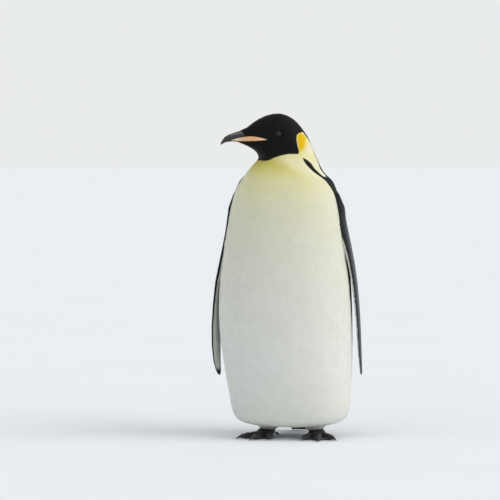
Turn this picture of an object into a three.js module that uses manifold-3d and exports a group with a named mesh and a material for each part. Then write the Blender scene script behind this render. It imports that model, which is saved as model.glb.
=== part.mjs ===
// A life-size emperor penguin, standing still: neck drawn in, flippers hanging, head turned over its right
// shoulder.
//
// Millimetres, +Z up. The bird's breast faces -Y, so its left side is +X. The origin is on the ground under
// the middle of the bird. Shapes are set out in the bird's own profile as [forward, up] pairs, with "forward"
// measured from the upright axis through the neck. Everything above the shoulders is then turned about that
// axis with the head.
import * as THREE from "three";
import { mergeVertices } from "three/addons/utils/BufferGeometryUtils.js";
import Module from "manifold-3d";

// ---- Driving dimensions ------------------------------------------------------------------------------

const GAP = 0.3; // air between neighbouring pieces
const FAR = 1500; // reach of the half-space blocks that part the body
const HEAD_REACH = 120; // reach of the prisms that part the head and bill
const OUTLINE_STEPS = 2; // steps in each curved stretch of a prism's outline

const AXIS_Y = -7.5; // where the neck's axis stands, fore and aft of the origin
const HEAD_TURN = THREE.MathUtils.degToRad(-70); // about +Z: the bill swings from -Y towards -X
const TURN_FROM = 795; // height at which the neck begins to turn
const TURN_FULL = 880; // height above which everything has turned with the head
const SWAY = 20; // the feet stand this far to the left of the neck's axis
const SWAY_BELOW = 420; // height below which the trunk leans over to them
const NECK_LEAN = 6; // the base of the neck leans this far to the bird's right
const LEAN_STARTS = [785, 812]; // the heights over which the lean sets in
const LEAN_ENDS = [828, 862]; // and over which it fades again

const BODY_SIDES = 36; // points round the trunk, neck and head: the head's turn is seven of their steps
const RING_STEP = 70; // about the step between two rings of the trunk
const HEAD_RING_STEP = 24; // and between two of the head, which curves more

// From the underside to the tip of the bill. belly and back are the profile's front and rear outlines, half
// is half the width, and each ring lies in the plane through its belly and back points.
const BODY = [
  { name: "underside", belly: [48, 34], back: [-32, 42], half: 48 },
  { name: "vent", belly: [104, 40], back: [-84, 56], half: 142 },
  { name: "hem", belly: [131, 49], back: [-109, 69], half: 169 },
  { name: "skirt", belly: [148, 68], back: [-126, 90], half: 181 },
  { name: "rump", belly: [163, 112], back: [-143, 134], half: 187 },
  { name: "thighs", belly: [177, 188], back: [-158, 205], half: 195 },
  { name: "lower_belly", belly: [188, 285], back: [-167, 296], half: 203 },
  { name: "girth", belly: [191, 390], back: [-171, 396], half: 206 },
  { name: "upper_belly", belly: [186, 500], back: [-170, 503], half: 200 },
  { name: "low_breast", belly: [174, 600], back: [-163, 604], half: 187 },
  { name: "breast", belly: [159, 680], back: [-152, 690], half: 174 },
  { name: "flipper_line", belly: [142, 738], back: [-141, 752], half: 163 },
  { name: "shoulder", belly: [124, 781], back: [-127, 799], half: 147.5 },
  { name: "mantle", belly: [109, 806], back: [-110, 823], half: 121 },
  { name: "slope", belly: [98, 829], back: [-100, 846], half: 107 },
  { name: "neck", belly: [88, 850], back: [-91, 871], half: 92 },
  { name: "collar", belly: [83, 865], back: [-82, 897], half: 83 },
  { name: "throat", belly: [88, 877], back: [-68, 928], half: 74 },
  { name: "jowl", belly: [98, 888], back: [-48, 958], half: 64 },
  { name: "eye", belly: [109, 895], back: [-22, 986], half: 54.5 },
  { name: "crown", belly: [120, 901], back: [18, 1003], half: 47 },
  { name: "forehead", belly: [131, 906], back: [64, 996], half: 35 },
  { name: "lores", belly: [141, 910], back: [100, 977], half: 25 },
  { name: "chin", belly: [148, 913], back: [122, 960], half: 18.5 },
  { name: "bill_base", belly: [156, 915], back: [144, 950], half: 14 },
  { name: "nostril", belly: [168, 916], back: [164, 943], half: 11 },
  { name: "bill_middle", belly: [181, 915], back: [181, 937], half: 8.3 },
  { name: "bill_bend", belly: [191, 913], back: [193, 930], half: 6 },
  { name: "hook", belly: [199, 909], back: [201, 919], half: 3.4 },
  { name: "bill_tip", belly: [204, 905.5], back: [206.5, 908.5], half: 1.3 },
];
const TRUNK_FULLNESS = 2.25; // exponent of the trunk's section: 2 is an ellipse, more is squarer
const HEAD_FULLNESS = 2.3;

// Where the body is parted.
const NECK_BASE = 800;
const BREAST_BASE = 540;
const RUMP_TOP = 300;
const BACK_FROM = 42; // the back and rump begin this far behind the neck's axis
const HOOD_FRONT = [82, 858]; // the plane between head and neck rises backwards through these two
const HOOD_REAR = [-39, 878];
const BILL_ROOT = [124, 926]; // the feathers reach forward above and below this point
const CULMEN_ROOT = [144, 950];
const CHIN_ROOT = [149, 914];
const MOUTH = [[62, 920.5], [93, 930], [121, 933], [155, 927.5], [178, 921], [190, 916.5], [198, 907]];

// The coloured plate along each side of the lower bill, from near its tip to the corner of the mouth.
const PLATE_TOP = [[177, 919.6], [155, 926], [121, 931.6], [93, 928.6], [69, 921.5]];
const PLATE_BOTTOM = [[93, 918.6], [121, 917.4], [155, 917.2]];
const PLATE_THICK = 1.3;

const EYE = { at: [32, 940], out: 44.5, radius: 13 };

// A flipper from its root in the trunk to its tip: chord is its width from edge to edge, thick its thickness,
// and aft how far the middle lies behind the neck's axis.
const FLIPPER_SIDES = 12;
const FLIPPER_BLUNT = 0.25; // the leading edge is thicker by this share
const FLIPPER = [
  { chord: 54, thick: 22, aft: 6 },
  { chord: 74, thick: 32, aft: 5 },
  { chord: 90, thick: 32, aft: 4 },
  { chord: 97, thick: 29, aft: 2 },
  { chord: 100, thick: 26, aft: 1 },
  { chord: 99, thick: 22, aft: 1 },
  { chord: 95, thick: 18, aft: 3 },
  { chord: 89, thick: 15, aft: 7 },
  { chord: 80, thick: 13, aft: 11 },
  { chord: 73, thick: 11.5, aft: 15 },
  { chord: 65, thick: 10, aft: 19 },
  { chord: 53, thick: 8.5, aft: 24 },
  { chord: 34, thick: 6.5, aft: 29 },
  { chord: 12, thick: 4, aft: 32 },
];
// How each one hangs, station by station: the height of its middle, its distance out from the neck's axis,
// and the turn in degrees that stands its leading edge out from the body.
const HANG = {
  left: [
    [788, 128, 0], [752, 151, 0], [712, 168, 0], [676, 173, 0], [640, 181.5, 0], [590, 194, 0],
    [540, 205, 0], [482, 214, 0], [412, 221, 0], [342, 225.5, 0], [282, 228, 0], [234, 230, 0],
    [206, 231.5, 0], [193, 232, 0],
  ],
  right: [
    [788, 124, 0], [752, 149, 0], [712, 162, 2], [676, 166.5, 4], [640, 171, 6], [598, 178.5, 9],
    [545, 190, 12], [480, 206, 12], [410, 216, 12], [340, 222, 13], [280, 223.5, 14], [230, 221.5, 15],
    [199, 218, 15], [186, 215.5, 15],
  ],
};

// The stiff tail, a flat wedge that props the bird behind.
const TAIL_SIDES = 12;
const TAIL = [
  { forward: -88, up: 172, half: 66, thick: 56 },
  { forward: -128, up: 120, half: 71, thick: 46 },
  { forward: -160, up: 72, half: 63, thick: 29 },
  { forward: -185, up: 32, half: 50, thick: 15 },
  { forward: -203, up: 0, half: 36, thick: 7 },
];

// Legs and feet. A foot has its own frame, with x ahead from the heel, y to the bird's own side and z up.
const FOOT_SPREAD = 72; // each heel from the middle
const FOOT_HEEL = -22; // heels, fore and aft of the neck's axis
const TOE_OUT = THREE.MathUtils.degToRad(11);
const LEG = { forward: 12, up: 50, half_wide: 40, half_long: 46, half_tall: 33 };
const SHANK = [
  { ahead: -13, up: 14, wide: 7, tall: 7 },
  { ahead: -6, up: 15, wide: 13, tall: 13 },
  { ahead: 14, up: 17, wide: 20, tall: 17 },
  { ahead: 42, up: 15, wide: 27, tall: 17 },
  { ahead: 68, up: 11, wide: 26, tall: 13 },
  { ahead: 82, up: 8, wide: 18, tall: 8 },
];
const SHANK_SIDES = 12;
const TOES = [
  { name: "inner", root: [50, -16], turn: -20, length: 80, claw: 28, radius: 11 },
  { name: "middle", root: [54, 0], turn: 0, length: 98, claw: 33, radius: 12.5 },
  { name: "outer", root: [50, 16], turn: 20, length: 86, claw: 30, radius: 11.5 },
];
const TOE = {
  sides: 8,
  knuckles: 3,
  swell: 0.1, // how far the knuckles stand out, as a share of the radius
  taper: 0.22, // how much of its radius a toe loses along its length
  tip: 0.72, // the last ring's size, which rounds the end
  flat: 0.92, // height over width
  axis: 0.75, // height of the middle of a toe, in radii, so that the floor cuts a flat sole
};
const WEB = {
  thick: 6,
  heel: [30, 14], // where it leaves the shank
  reach: 0.86, // share of each toe's length that it runs along
  bay: 0.62, // how far out its edge lies midway between two toes
  steps: 6,
};
const HIND_TOE = { name: "hind", root: [4, -20], up: 9, turn: -52, claw: 20, radius: 5 };
const CLAW = {
  radius: 5.6,
  sides: 6,
  rows: 4,
  taper: 0.86, // how much of its radius a claw loses by its tip
  slim: 0.8, // width over height
  clear: 0.4, // height of the tip's middle, in radii
  curl: 0.85, // share of its fall that comes late
};

const UP = new THREE.Vector3(0, 0, 1);
const DOWN = new THREE.Vector3(0, 0, -1);

// ---- Solids from meshes ------------------------------------------------------------------------------

const wasm = await Module();
wasm.setup();

// A geometry's positions alone, with the points that its faces share merged.
function bare(geometry) {
  const copy = geometry.clone();
  copy.deleteAttribute("normal");
  copy.deleteAttribute("uv");
  return mergeVertices(copy, 1e-4);
}

// A closed geometry as a manifold-3d solid.
function solid(geometry) {
  const merged = bare(geometry);
  const made = new wasm.Manifold(
    new wasm.Mesh({
      numProp: 3,
      vertProperties: new Float32Array(merged.attributes.position.array),
      triVerts: new Uint32Array(merged.index.array),
    }),
  );
  if (made.volume() <= 0) throw new Error("a solid is inside out");
  return made;
}

// A manifold-3d solid as a flat-shaded geometry.
function geometryOf(shape) {
  const mesh = shape.getMesh();
  const geometry = new THREE.BufferGeometry();
  geometry.setAttribute("position", new THREE.BufferAttribute(new Float32Array(mesh.vertProperties), 3));
  geometry.setIndex(new THREE.BufferAttribute(new Uint32Array(mesh.triVerts), 1));
  const flat = geometry.toNonIndexed();
  flat.computeVertexNormals();
  return flat;
}

// A closed skin over a row of rings that all have the same number of points, counted the same way round.
function loft(rings) {
  const sides = rings[0].length;
  const points = rings.flat();
  const middles = [rings[0], rings.at(-1)].map((ring) =>
    ring.reduce((sum, p) => sum.add(p), new THREE.Vector3()).divideScalar(sides),
  );
  const caps = points.length;
  const faces = [];
  for (let row = 0; row + 1 < rings.length; row++)
    for (let i = 0; i < sides; i++) {
      const a = row * sides + i;
      const b = row * sides + ((i + 1) % sides);
      faces.push(a, b, b + sides, a, b + sides, a + sides);
    }
  const last = (rings.length - 1) * sides;
  for (let i = 0; i < sides; i++) {
    const next = (i + 1) % sides;
    faces.push(caps, next, i, caps + 1, last + i, last + next);
  }
  const geometry = new THREE.BufferGeometry().setFromPoints([...points, ...middles]);
  geometry.setIndex(faces);
  return geometry;
}

// The block of space on the side of a plane that its normal points to, half a gap clear of the plane.
function halfSpace(point, normal) {
  const block = new THREE.BoxGeometry(2 * FAR, 2 * FAR, 2 * FAR);
  const toward = normal.clone().normalize();
  block.translate(0, 0, FAR + GAP / 2);
  block.applyQuaternion(new THREE.Quaternion().setFromUnitVectors(UP, toward));
  block.translate(point.x, point.y, point.z);
  return solid(block);
}

// ---- The bird's own frame ----------------------------------------------------------------------------

// A point of the profile, straight ahead, with the given distance to the bird's left.
const place = ([forward, up], left = 0) => new THREE.Vector3(left, AXIS_Y - forward, up);

// Turns a point about the neck's axis by a share of the head's turn.
function turn(point, share = 1) {
  const around = new THREE.Vector3(point.x, point.y - AXIS_Y, point.z);
  around.applyAxisAngle(UP, HEAD_TURN * share);
  return around.add(new THREE.Vector3(0, AXIS_Y, 0));
}

// How much of the head's turn is done at this height.
const turned = (up) => THREE.MathUtils.smoothstep(up, TURN_FROM, TURN_FULL);

// How far whatever stands at this height is moved to the left.
function shift(up) {
  const sway = SWAY * THREE.MathUtils.smoothstep(SWAY_BELOW - up, 0, SWAY_BELOW);
  const lean = THREE.MathUtils.smoothstep(up, ...LEAN_STARTS) - THREE.MathUtils.smoothstep(up, ...LEAN_ENDS);
  return sway - NECK_LEAN * lean;
}

// The bird's pose: a straight bird's point, turned with the neck and swayed over the feet.
function posed(point) {
  const result = turn(point, turned(point.z));
  result.x += shift(point.z);
  return result;
}

const power = (value, exponent) => Math.sign(value) * Math.abs(value) ** exponent;

// ---- Trunk, neck, head and bill as one skin ----------------------------------------------------------

const SPANS = BODY.length - 1;
const HEAD_SPAN = BODY.findIndex((station) => station.name === "collar");

// Where the rings stand along BODY, from 0 at the first station to 1 at the last.
function ringPlaces() {
  const places = [];
  for (let span = 0; span < SPANS; span++) {
    const travel = (key) => place(BODY[span][key]).distanceTo(place(BODY[span + 1][key]));
    const aim = span < HEAD_SPAN ? RING_STEP : HEAD_RING_STEP;
    const steps = Math.max(1, Math.round(Math.max(travel("belly"), travel("back")) / aim));
    for (let step = 0; step < steps; step++) places.push((span + step / steps) / SPANS);
  }
  return [...places, 1];
}

// The whole outer skin, or the same skin grown outwards.
function bodySkin(grow = 0) {
  const smooth = (points) => new THREE.CatmullRomCurve3(points, false, "centripetal");
  const belly = smooth(BODY.map((station) => place(station.belly)));
  const back = smooth(BODY.map((station) => place(station.back)));
  const half = smooth(BODY.map((station, i) => new THREE.Vector3(station.half, RING_STEP * i, 0)));
  const rings = ringPlaces().map((t) => {
    const front = belly.getPoint(t);
    const rear = back.getPoint(t);
    const outward = rear.clone().sub(front).setLength(grow);
    front.sub(outward);
    rear.add(outward);
    const middle = front.clone().add(rear).multiplyScalar(0.5);
    const reach = rear.clone().sub(middle);
    const width = half.getPoint(t).x + grow;
    const head = THREE.MathUtils.smoothstep(t * SPANS, HEAD_SPAN - 2, HEAD_SPAN + 1);
    const round = 2 / THREE.MathUtils.lerp(TRUNK_FULLNESS, HEAD_FULLNESS, head);
    const start = -HEAD_TURN * turned(middle.z); // columns of points stay upright while the shape turns
    return Array.from({ length: BODY_SIDES }, (_, i) => {
      const angle = (2 * Math.PI * i) / BODY_SIDES + start;
      const point = middle.clone().addScaledVector(reach, -power(Math.cos(angle), round));
      point.x += width * power(Math.sin(angle), round);
      return posed(point);
    });
  });
  return loft(rings);
}

// A prism across the whole head, from an outline drawn in the head's profile with x forward and y up.
function acrossHead(outline) {
  const prism = new THREE.ExtrudeGeometry(outline, {
    depth: 2 * HEAD_REACH, bevelEnabled: false, curveSegments: OUTLINE_STEPS,
  });
  prism.translate(0, 0, -HEAD_REACH);
  prism.applyMatrix4(new THREE.Matrix4().makeBasis(
    new THREE.Vector3(0, -1, 0), new THREE.Vector3(0, 0, 1), new THREE.Vector3(-1, 0, 0)));
  prism.rotateZ(HEAD_TURN).translate(0, AXIS_Y, 0);
  return solid(prism);
}

// The half-space beside a line drawn in the head's profile: above a line that runs forward, or below it.
function profileHalf(from, to, isAbove) {
  const normal = new THREE.Vector3(0, to[1] - from[1], to[0] - from[0]);
  normal.applyAxisAngle(UP, HEAD_TURN).multiplyScalar(isAbove ? 1 : -1);
  return halfSpace(turn(place(from)), normal);
}

// Everything in front of the corner of the mouth, above the mouth or below it.
function mouthSide(isAbove) {
  const lift = isAbove ? GAP / 2 : -GAP / 2;
  const line = MOUTH.map(([forward, up]) => new THREE.Vector2(forward, up + lift));
  const corner = line[0];
  const tip = line.at(-1);
  const outline = new THREE.Shape();
  outline.moveTo(corner.x, corner.y);
  outline.splineThru(line.slice(1));
  outline.lineTo(tip.x, tip.y - HEAD_REACH);
  if (isAbove) {
    outline.lineTo(tip.x + HEAD_REACH, tip.y - HEAD_REACH);
    outline.lineTo(tip.x + HEAD_REACH, corner.y + HEAD_REACH);
    outline.lineTo(corner.x, corner.y + HEAD_REACH);
  } else {
    outline.lineTo(corner.x, tip.y - HEAD_REACH);
  }
  return acrossHead(outline);
}

function plateOutline() {
  const vectors = (pairs) => pairs.map(([forward, up]) => new THREE.Vector2(forward, up));
  const top = vectors(PLATE_TOP);
  const outline = new THREE.Shape();
  outline.moveTo(top[0].x, top[0].y);
  outline.splineThru(top.slice(1));
  outline.splineThru([...vectors(PLATE_BOTTOM), top[0]]);
  return outline;
}

// The outer half of an eyeball, with its pole to the side.
function eyeball(side, grow = 0) {
  const ball = new THREE.SphereGeometry(EYE.radius + grow, 14, 8);
  ball.rotateZ(Math.PI / 2).rotateZ(HEAD_TURN);
  const centre = turn(place(EYE.at, side * EYE.out));
  ball.translate(centre.x, centre.y, centre.z);
  const sideways = centre.clone().sub(turn(place(EYE.at)));
  return solid(ball).intersect(halfSpace(centre.addScaledVector(sideways.normalize(), -grow), sideways));
}

// ---- Flippers and tail -------------------------------------------------------------------------------

// side is 1 for the bird's left, -1 for its right.
function flipper(hang, side) {
  const rings = hang.map(([up, out, degrees], row) => {
    const { chord, thick, aft } = FLIPPER[row];
    const twist = THREE.MathUtils.degToRad(degrees);
    return Array.from({ length: FLIPPER_SIDES }, (_, i) => {
      const angle = (side * -2 * Math.PI * i) / FLIPPER_SIDES;
      const ahead = (chord / 2) * Math.cos(angle);
      const outward = (thick / 2) * (1 + FLIPPER_BLUNT * Math.cos(angle)) * Math.sin(angle);
      const left = side * (out + outward * Math.cos(twist) + ahead * Math.sin(twist));
      return place([-aft + ahead * Math.cos(twist) - outward * Math.sin(twist), up], left);
    });
  });
  return solid(loft(rings));
}

function tail() {
  const rings = TAIL.map((s, row) => {
    const before = TAIL[Math.max(row - 1, 0)];
    const after = TAIL[Math.min(row + 1, TAIL.length - 1)];
    const run = new THREE.Vector2(after.forward - before.forward, after.up - before.up).normalize();
    return Array.from({ length: TAIL_SIDES }, (_, i) => {
      const angle = (-2 * Math.PI * i) / TAIL_SIDES;
      const lift = (s.thick / 2) * Math.sin(angle);
      const left = s.half * Math.cos(angle) + SWAY;
      return place([s.forward + lift * run.y, s.up - lift * run.x], left);
    });
  });
  return solid(loft(rings));
}

// ---- Legs, feet and claws ----------------------------------------------------------------------------

// A geometry drawn in a foot's frame, as a solid in the bird's.
function footSolid(shape, side) {
  const geometry = bare(shape);
  const stance = new THREE.Matrix4().makeBasis(
    new THREE.Vector3(side * Math.sin(TOE_OUT), -Math.cos(TOE_OUT), 0),
    new THREE.Vector3(side * Math.cos(TOE_OUT), Math.sin(TOE_OUT), 0),
    UP,
  );
  const heel = place([FOOT_HEEL, 0], side * FOOT_SPREAD + SWAY);
  geometry.applyMatrix4(stance).translate(heel.x, heel.y, heel.z);
  if (stance.determinant() < 0) geometry.index.array.reverse();
  return solid(geometry);
}

// The point at a distance from another in a foot's frame, along a heading in degrees.
function along([x, y], degrees, distance, up = 0) {
  const heading = THREE.MathUtils.degToRad(degrees);
  return new THREE.Vector3(x + distance * Math.cos(heading), y + distance * Math.sin(heading), up);
}

// A tube of upright elliptic rings along a path of {at, wide, tall} that runs along a heading.
function limb(path, degrees, sides) {
  const across = along([0, 0], degrees + 90, 1);
  const rings = path.map(({ at, wide, tall }) =>
    Array.from({ length: sides }, (_, i) => {
      const angle = (2 * Math.PI * i) / sides;
      const level = at.clone().addScaledVector(across, wide * Math.cos(angle));
      return level.addScaledVector(UP, tall * Math.sin(angle));
    }),
  );
  return loft(rings);
}

function toe({ root, turn: heading, length, radius }) {
  const rows = 2 * TOE.knuckles;
  const path = Array.from({ length: rows + 1 }, (_, row) => {
    const t = row / rows;
    const knuckle = 1 + TOE.swell * Math.cos(2 * Math.PI * TOE.knuckles * t);
    const wide = radius * knuckle * (1 - TOE.taper * t) * (row === rows ? TOE.tip : 1);
    return { at: along(root, heading, length * t, radius * TOE.axis), wide, tall: wide * TOE.flat };
  });
  return limb(path, heading, TOE.sides);
}

// A claw that curves down from a point to just above the floor.
function claw([x, y, z], heading, length, radius) {
  const path = Array.from({ length: CLAW.rows + 1 }, (_, row) => {
    const t = row / CLAW.rows;
    const tall = radius * (1 - CLAW.taper * t ** 1.3);
    const fall = (z - radius * CLAW.clear) * ((1 - CLAW.curl) * t + CLAW.curl * t * t);
    return { at: along([x, y], heading, length * t, z - fall), wide: tall * CLAW.slim, tall };
  });
  return limb(path, heading, CLAW.sides);
}

function web() {
  const [inner, middle, outer] = TOES;
  const edge = ({ root, turn: heading, length }) => along(root, heading, length * WEB.reach);
  const [ahead, out] = WEB.heel;
  const outline = new THREE.Shape();
  outline.moveTo(ahead, -out);
  outline.lineTo(edge(inner).x, edge(inner).y);
  for (const [near, far] of [[inner, middle], [middle, outer]]) {
    const root = [near.root[0], (near.root[1] + far.root[1]) / 2];
    const bay = along(root, (near.turn + far.turn) / 2, near.length * WEB.bay);
    outline.quadraticCurveTo(bay.x, bay.y, edge(far).x, edge(far).y);
  }
  outline.lineTo(ahead, out);
  const settings = { depth: WEB.thick, bevelEnabled: false, curveSegments: WEB.steps };
  return new THREE.ExtrudeGeometry(outline, settings);
}

function foot(side) {
  const ring = ({ ahead, up, wide, tall }) => ({ at: new THREE.Vector3(ahead, 0, up), wide, tall });
  const shank = SHANK.map(ring);
  const shapes = [limb(shank, 0, SHANK_SIDES), web(), ...TOES.map(toe)];
  return shapes.map((shape) => footSolid(shape, side)).reduce((joined, piece) => joined.add(piece));
}

function claws(side) {
  const front = TOES.map(({ name, root, turn: heading, length, claw: reach, radius }) => {
    const tip = along(root, heading, length, radius * TOE.axis);
    return { name, shape: claw(tip, heading, reach, CLAW.radius) };
  });
  const { name, root, up, turn: heading, claw: reach, radius } = HIND_TOE;
  const hind = { name, shape: claw([...root, up], heading, reach, radius) };
  return [...front, hind].map((each) => ({ name: each.name, solid: footSolid(each.shape, side) }));
}

function leg(side, grow = 0) {
  const ball = new THREE.SphereGeometry(1, 12, 6);
  ball.rotateX(Math.PI / 2);
  ball.scale(LEG.half_wide + grow, LEG.half_long + grow, LEG.half_tall + grow);
  const centre = place([LEG.forward, LEG.up], side * FOOT_SPREAD + SWAY);
  ball.translate(centre.x, centre.y, centre.z);
  return solid(ball);
}

// ---- The bird, piece by piece ------------------------------------------------------------------------

const finish = (color, roughness) => new THREE.MeshStandardMaterial({ color, roughness, metalness: 0 });
const BLACK_FEATHERS = finish(0x1b1a1c, 0.75);
const CREAM_FEATHERS = finish(0xe2dba6, 0.8);
const WHITE_FEATHERS = finish(0xd9dad0, 0.8);
const GREY_FEATHERS = finish(0x5c6068, 0.7);
const DARK_HORN = finish(0x38353a, 0.4);
const ORANGE_HORN = finish(0xd9965f, 0.4);
const EYE_GLOSS = finish(0x2a1c14, 0.1);
const FOOT_SKIN = finish(0x2b2a2c, 0.6);
const CLAW_HORN = finish(0x1d1b1b, 0.35);

const SIDES = { left: 1, right: -1 };
const penguin = new THREE.Group();

function add(name, shape, material) {
  const piece = new THREE.Mesh(geometryOf(shape), material);
  piece.name = name;
  penguin.add(piece);
}

const whole = solid(bodySkin());
const cleared = solid(bodySkin(GAP)); // the same skin, a gap larger, to trim what leans on it
const above = (height) => halfSpace(place([0, height]), UP);
const below = (height) => halfSpace(place([0, height]), DOWN);
const behind = halfSpace(place([-BACK_FROM, 0]), new THREE.Vector3(0, 1, 0));
const inFront = halfSpace(place([-BACK_FROM, 0]), new THREE.Vector3(0, -1, 0));

// Trunk, with a hollow for the root of each leg.
let trunk = whole.intersect(below(NECK_BASE));
for (const side of Object.values(SIDES)) trunk = trunk.subtract(leg(side, GAP));
const front = trunk.intersect(inFront);
add("breast", front.intersect(above(BREAST_BASE)), CREAM_FEATHERS);
add("belly", front.intersect(below(BREAST_BASE)), WHITE_FEATHERS);
const rear = trunk.intersect(behind);
add("back", rear.intersect(above(RUMP_TOP)), GREY_FEATHERS);
add("rump", rear.intersect(below(RUMP_TOP)), GREY_FEATHERS);

// Head and neck, parted along the lower edge of the hood.
const hooded = whole.intersect(profileHalf(HOOD_REAR, HOOD_FRONT, true));
const collared = whole.intersect(profileHalf(HOOD_REAR, HOOD_FRONT, false));
add("neck", collared.intersect(above(NECK_BASE)), CREAM_FEATHERS);

// The bill stands in front of the feathers, which reach forward in a point over it and in another under it.
const culmenAhead = profileHalf(BILL_ROOT, CULMEN_ROOT, false);
const culmenBehind = profileHalf(BILL_ROOT, CULMEN_ROOT, true);
const chinAhead = profileHalf(BILL_ROOT, CHIN_ROOT, true);
const chinBehind = profileHalf(BILL_ROOT, CHIN_ROOT, false);
const underMouth = mouthSide(false);
const upperBill = hooded.intersect(culmenAhead).intersect(mouthSide(true));
const lowerBill = hooded.intersect(culmenAhead).intersect(chinAhead).intersect(underMouth);
let head = hooded.intersect(culmenBehind).add(hooded.intersect(chinBehind).intersect(underMouth));
for (const [name, side] of Object.entries(SIDES)) {
  head = head.subtract(eyeball(side, GAP));
  add(`eye_${name}`, eyeball(side), EYE_GLOSS);
}
add("head", head, BLACK_FEATHERS);
add("upper_bill", upperBill, DARK_HORN);
add("lower_bill", lowerBill, DARK_HORN);

const plates = acrossHead(plateOutline()).intersect(solid(bodySkin(GAP + PLATE_THICK))).subtract(cleared);
const neckAxis = place([0, 0]);
for (const [name, side] of Object.entries(SIDES)) {
  const sideways = turn(place([0, 0], side)).sub(neckAxis);
  add(`bill_plate_${name}`, plates.intersect(halfSpace(neckAxis, sideways)), ORANGE_HORN);
}

for (const [name, side] of Object.entries(SIDES))
  add(`flipper_${name}`, flipper(HANG[name], side).subtract(cleared), GREY_FEATHERS);
add("tail", tail().subtract(cleared).intersect(above(-GAP / 2)), BLACK_FEATHERS);

for (const [name, side] of Object.entries(SIDES)) {
  const standing = foot(side).intersect(above(-GAP / 2));
  add(`foot_${name}`, standing, FOOT_SKIN);
  for (const each of claws(side))
    add(`claw_${each.name}_${name}`, each.solid.subtract(standing), CLAW_HORN);
  add(`leg_${name}`, leg(side).subtract(standing), WHITE_FEATHERS);
}

export default penguin;
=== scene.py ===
import math

import bmesh
import bpy
import numpy as np
from mathutils import Matrix, Vector, noise
from mathutils.bvhtree import BVHTree
from mathutils.kdtree import KDTree


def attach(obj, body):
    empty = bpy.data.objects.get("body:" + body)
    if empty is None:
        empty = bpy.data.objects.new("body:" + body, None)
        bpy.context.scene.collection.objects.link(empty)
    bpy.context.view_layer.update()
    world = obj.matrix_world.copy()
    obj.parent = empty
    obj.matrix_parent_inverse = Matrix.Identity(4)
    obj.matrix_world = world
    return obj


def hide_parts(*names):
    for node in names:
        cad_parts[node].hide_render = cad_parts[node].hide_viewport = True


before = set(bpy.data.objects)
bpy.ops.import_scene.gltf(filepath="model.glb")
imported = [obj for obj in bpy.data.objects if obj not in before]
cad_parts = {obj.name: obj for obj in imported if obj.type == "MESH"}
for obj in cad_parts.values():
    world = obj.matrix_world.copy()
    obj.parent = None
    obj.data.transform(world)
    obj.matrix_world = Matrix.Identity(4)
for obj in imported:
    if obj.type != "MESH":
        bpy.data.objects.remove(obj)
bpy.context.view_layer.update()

# An emperor penguin, standing, its head turned to its right. Heights and markings are in millimetres, as in
# the part's source; meshes are in metres. Forward is -Y, the bird's left is +X.
#
# One seamless skin stands in for the solids of flesh, and a coat of solid feathers grows on it. Both take
# their colours from the same markings, which are drawn over the bird as if it stood straight.

MM = 0.001
AXIS_Y = -7.5  # the trunk's upright axis
HEAD_TURN = math.radians(-70)
TURN_HEIGHTS = (795, 880)  # the neck turns between these heights
SWAY = 20  # how far the trunk's foot stands to the left of its axis
SWAY_BELOW = 420
NECK_LEAN = 6  # how far the foot of the neck leans to the right
LEAN_STARTS = (785, 812)
LEAN_ENDS = (828, 862)

TRUNK = ("head", "neck", "breast", "belly", "back", "rump")
FLESH = (*TRUNK, "tail", "flipper_left", "flipper_right", "leg_left", "leg_right")
BILL = ("upper_bill", "lower_bill", "bill_plate_left", "bill_plate_right")
EYES = ("eye_left", "eye_right")
PARTS = FLESH + BILL + EYES
SIDES = {"left": 1, "right": -1}


# ---- Numbers, and the bird's own upright coordinates


def smoothstep(x, low, high):
    """0 up to low, 1 from high, and an even rise between them."""
    t = np.clip((x - low) / (high - low), 0, 1)
    return t * t * (3 - 2 * t)


def bell(x, middle, width):
    """1 in the middle, falling away to both sides."""
    return np.exp(-((x - middle) / width) ** 2)


def unit(vectors):
    return vectors / np.maximum(np.linalg.norm(vectors, axis=1, keepdims=True), 1e-12)


def mixed(a, b, share):
    """Each row of a, moved towards b's by its share."""
    return a + (b - a) * share[:, None]


def shift(up):
    """How far what stands at this height is moved to the left."""
    lean = smoothstep(up, *LEAN_STARTS) - smoothstep(up, *LEAN_ENDS)
    return SWAY * smoothstep(SWAY_BELOW - up, 0, SWAY_BELOW) - NECK_LEAN * lean


def turned(up):
    """How far what stands at this height is turned with the head."""
    return HEAD_TURN * smoothstep(up, *TURN_HEIGHTS)


def rotated(x, y, angle):
    return x * np.cos(angle) - y * np.sin(angle), x * np.sin(angle) + y * np.cos(angle)


def straightened(points):
    """Forward, left and up in millimetres, with the neck's turn and the body's sway taken out."""
    up = points[:, 2] / MM
    x, y = rotated(points[:, 0] / MM - shift(up), points[:, 1] / MM - AXIS_Y, -turned(up))
    return -y, x, up


def posed(forward, left, up):
    """The place in the scene, in metres, of a place on the straight bird."""
    x, y = rotated(left, -forward, turned(up))
    return Vector((x + shift(up), y + AXIS_Y, up)) * MM


def on_parts(owner, *names):
    """Which of these points belong to one of the parts named, from each point's index into PARTS."""
    return np.isin(owner, [PARTS.index(name) for name in names])


def linear(code):
    """The linear RGB of an sRGB hex value."""
    channels = np.array([int(code[i:i + 2], 16) for i in (0, 2, 4)]) / 255
    return np.where(channels <= 0.04045, channels / 12.92, ((channels + 0.055) / 1.055) ** 2.4)


def rgba(code):
    return (*linear(code), 1.0)


def ramp(x, stops):
    """Linear colours between stops of (place, hex value), one for each x."""
    places = [place for place, _ in stops]
    tones = np.array([linear(code) for _, code in stops])
    return np.stack([np.interp(x, places, tones[:, i]) for i in range(3)], axis=1)


# ---- Markings, as colours over the straight bird


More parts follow.
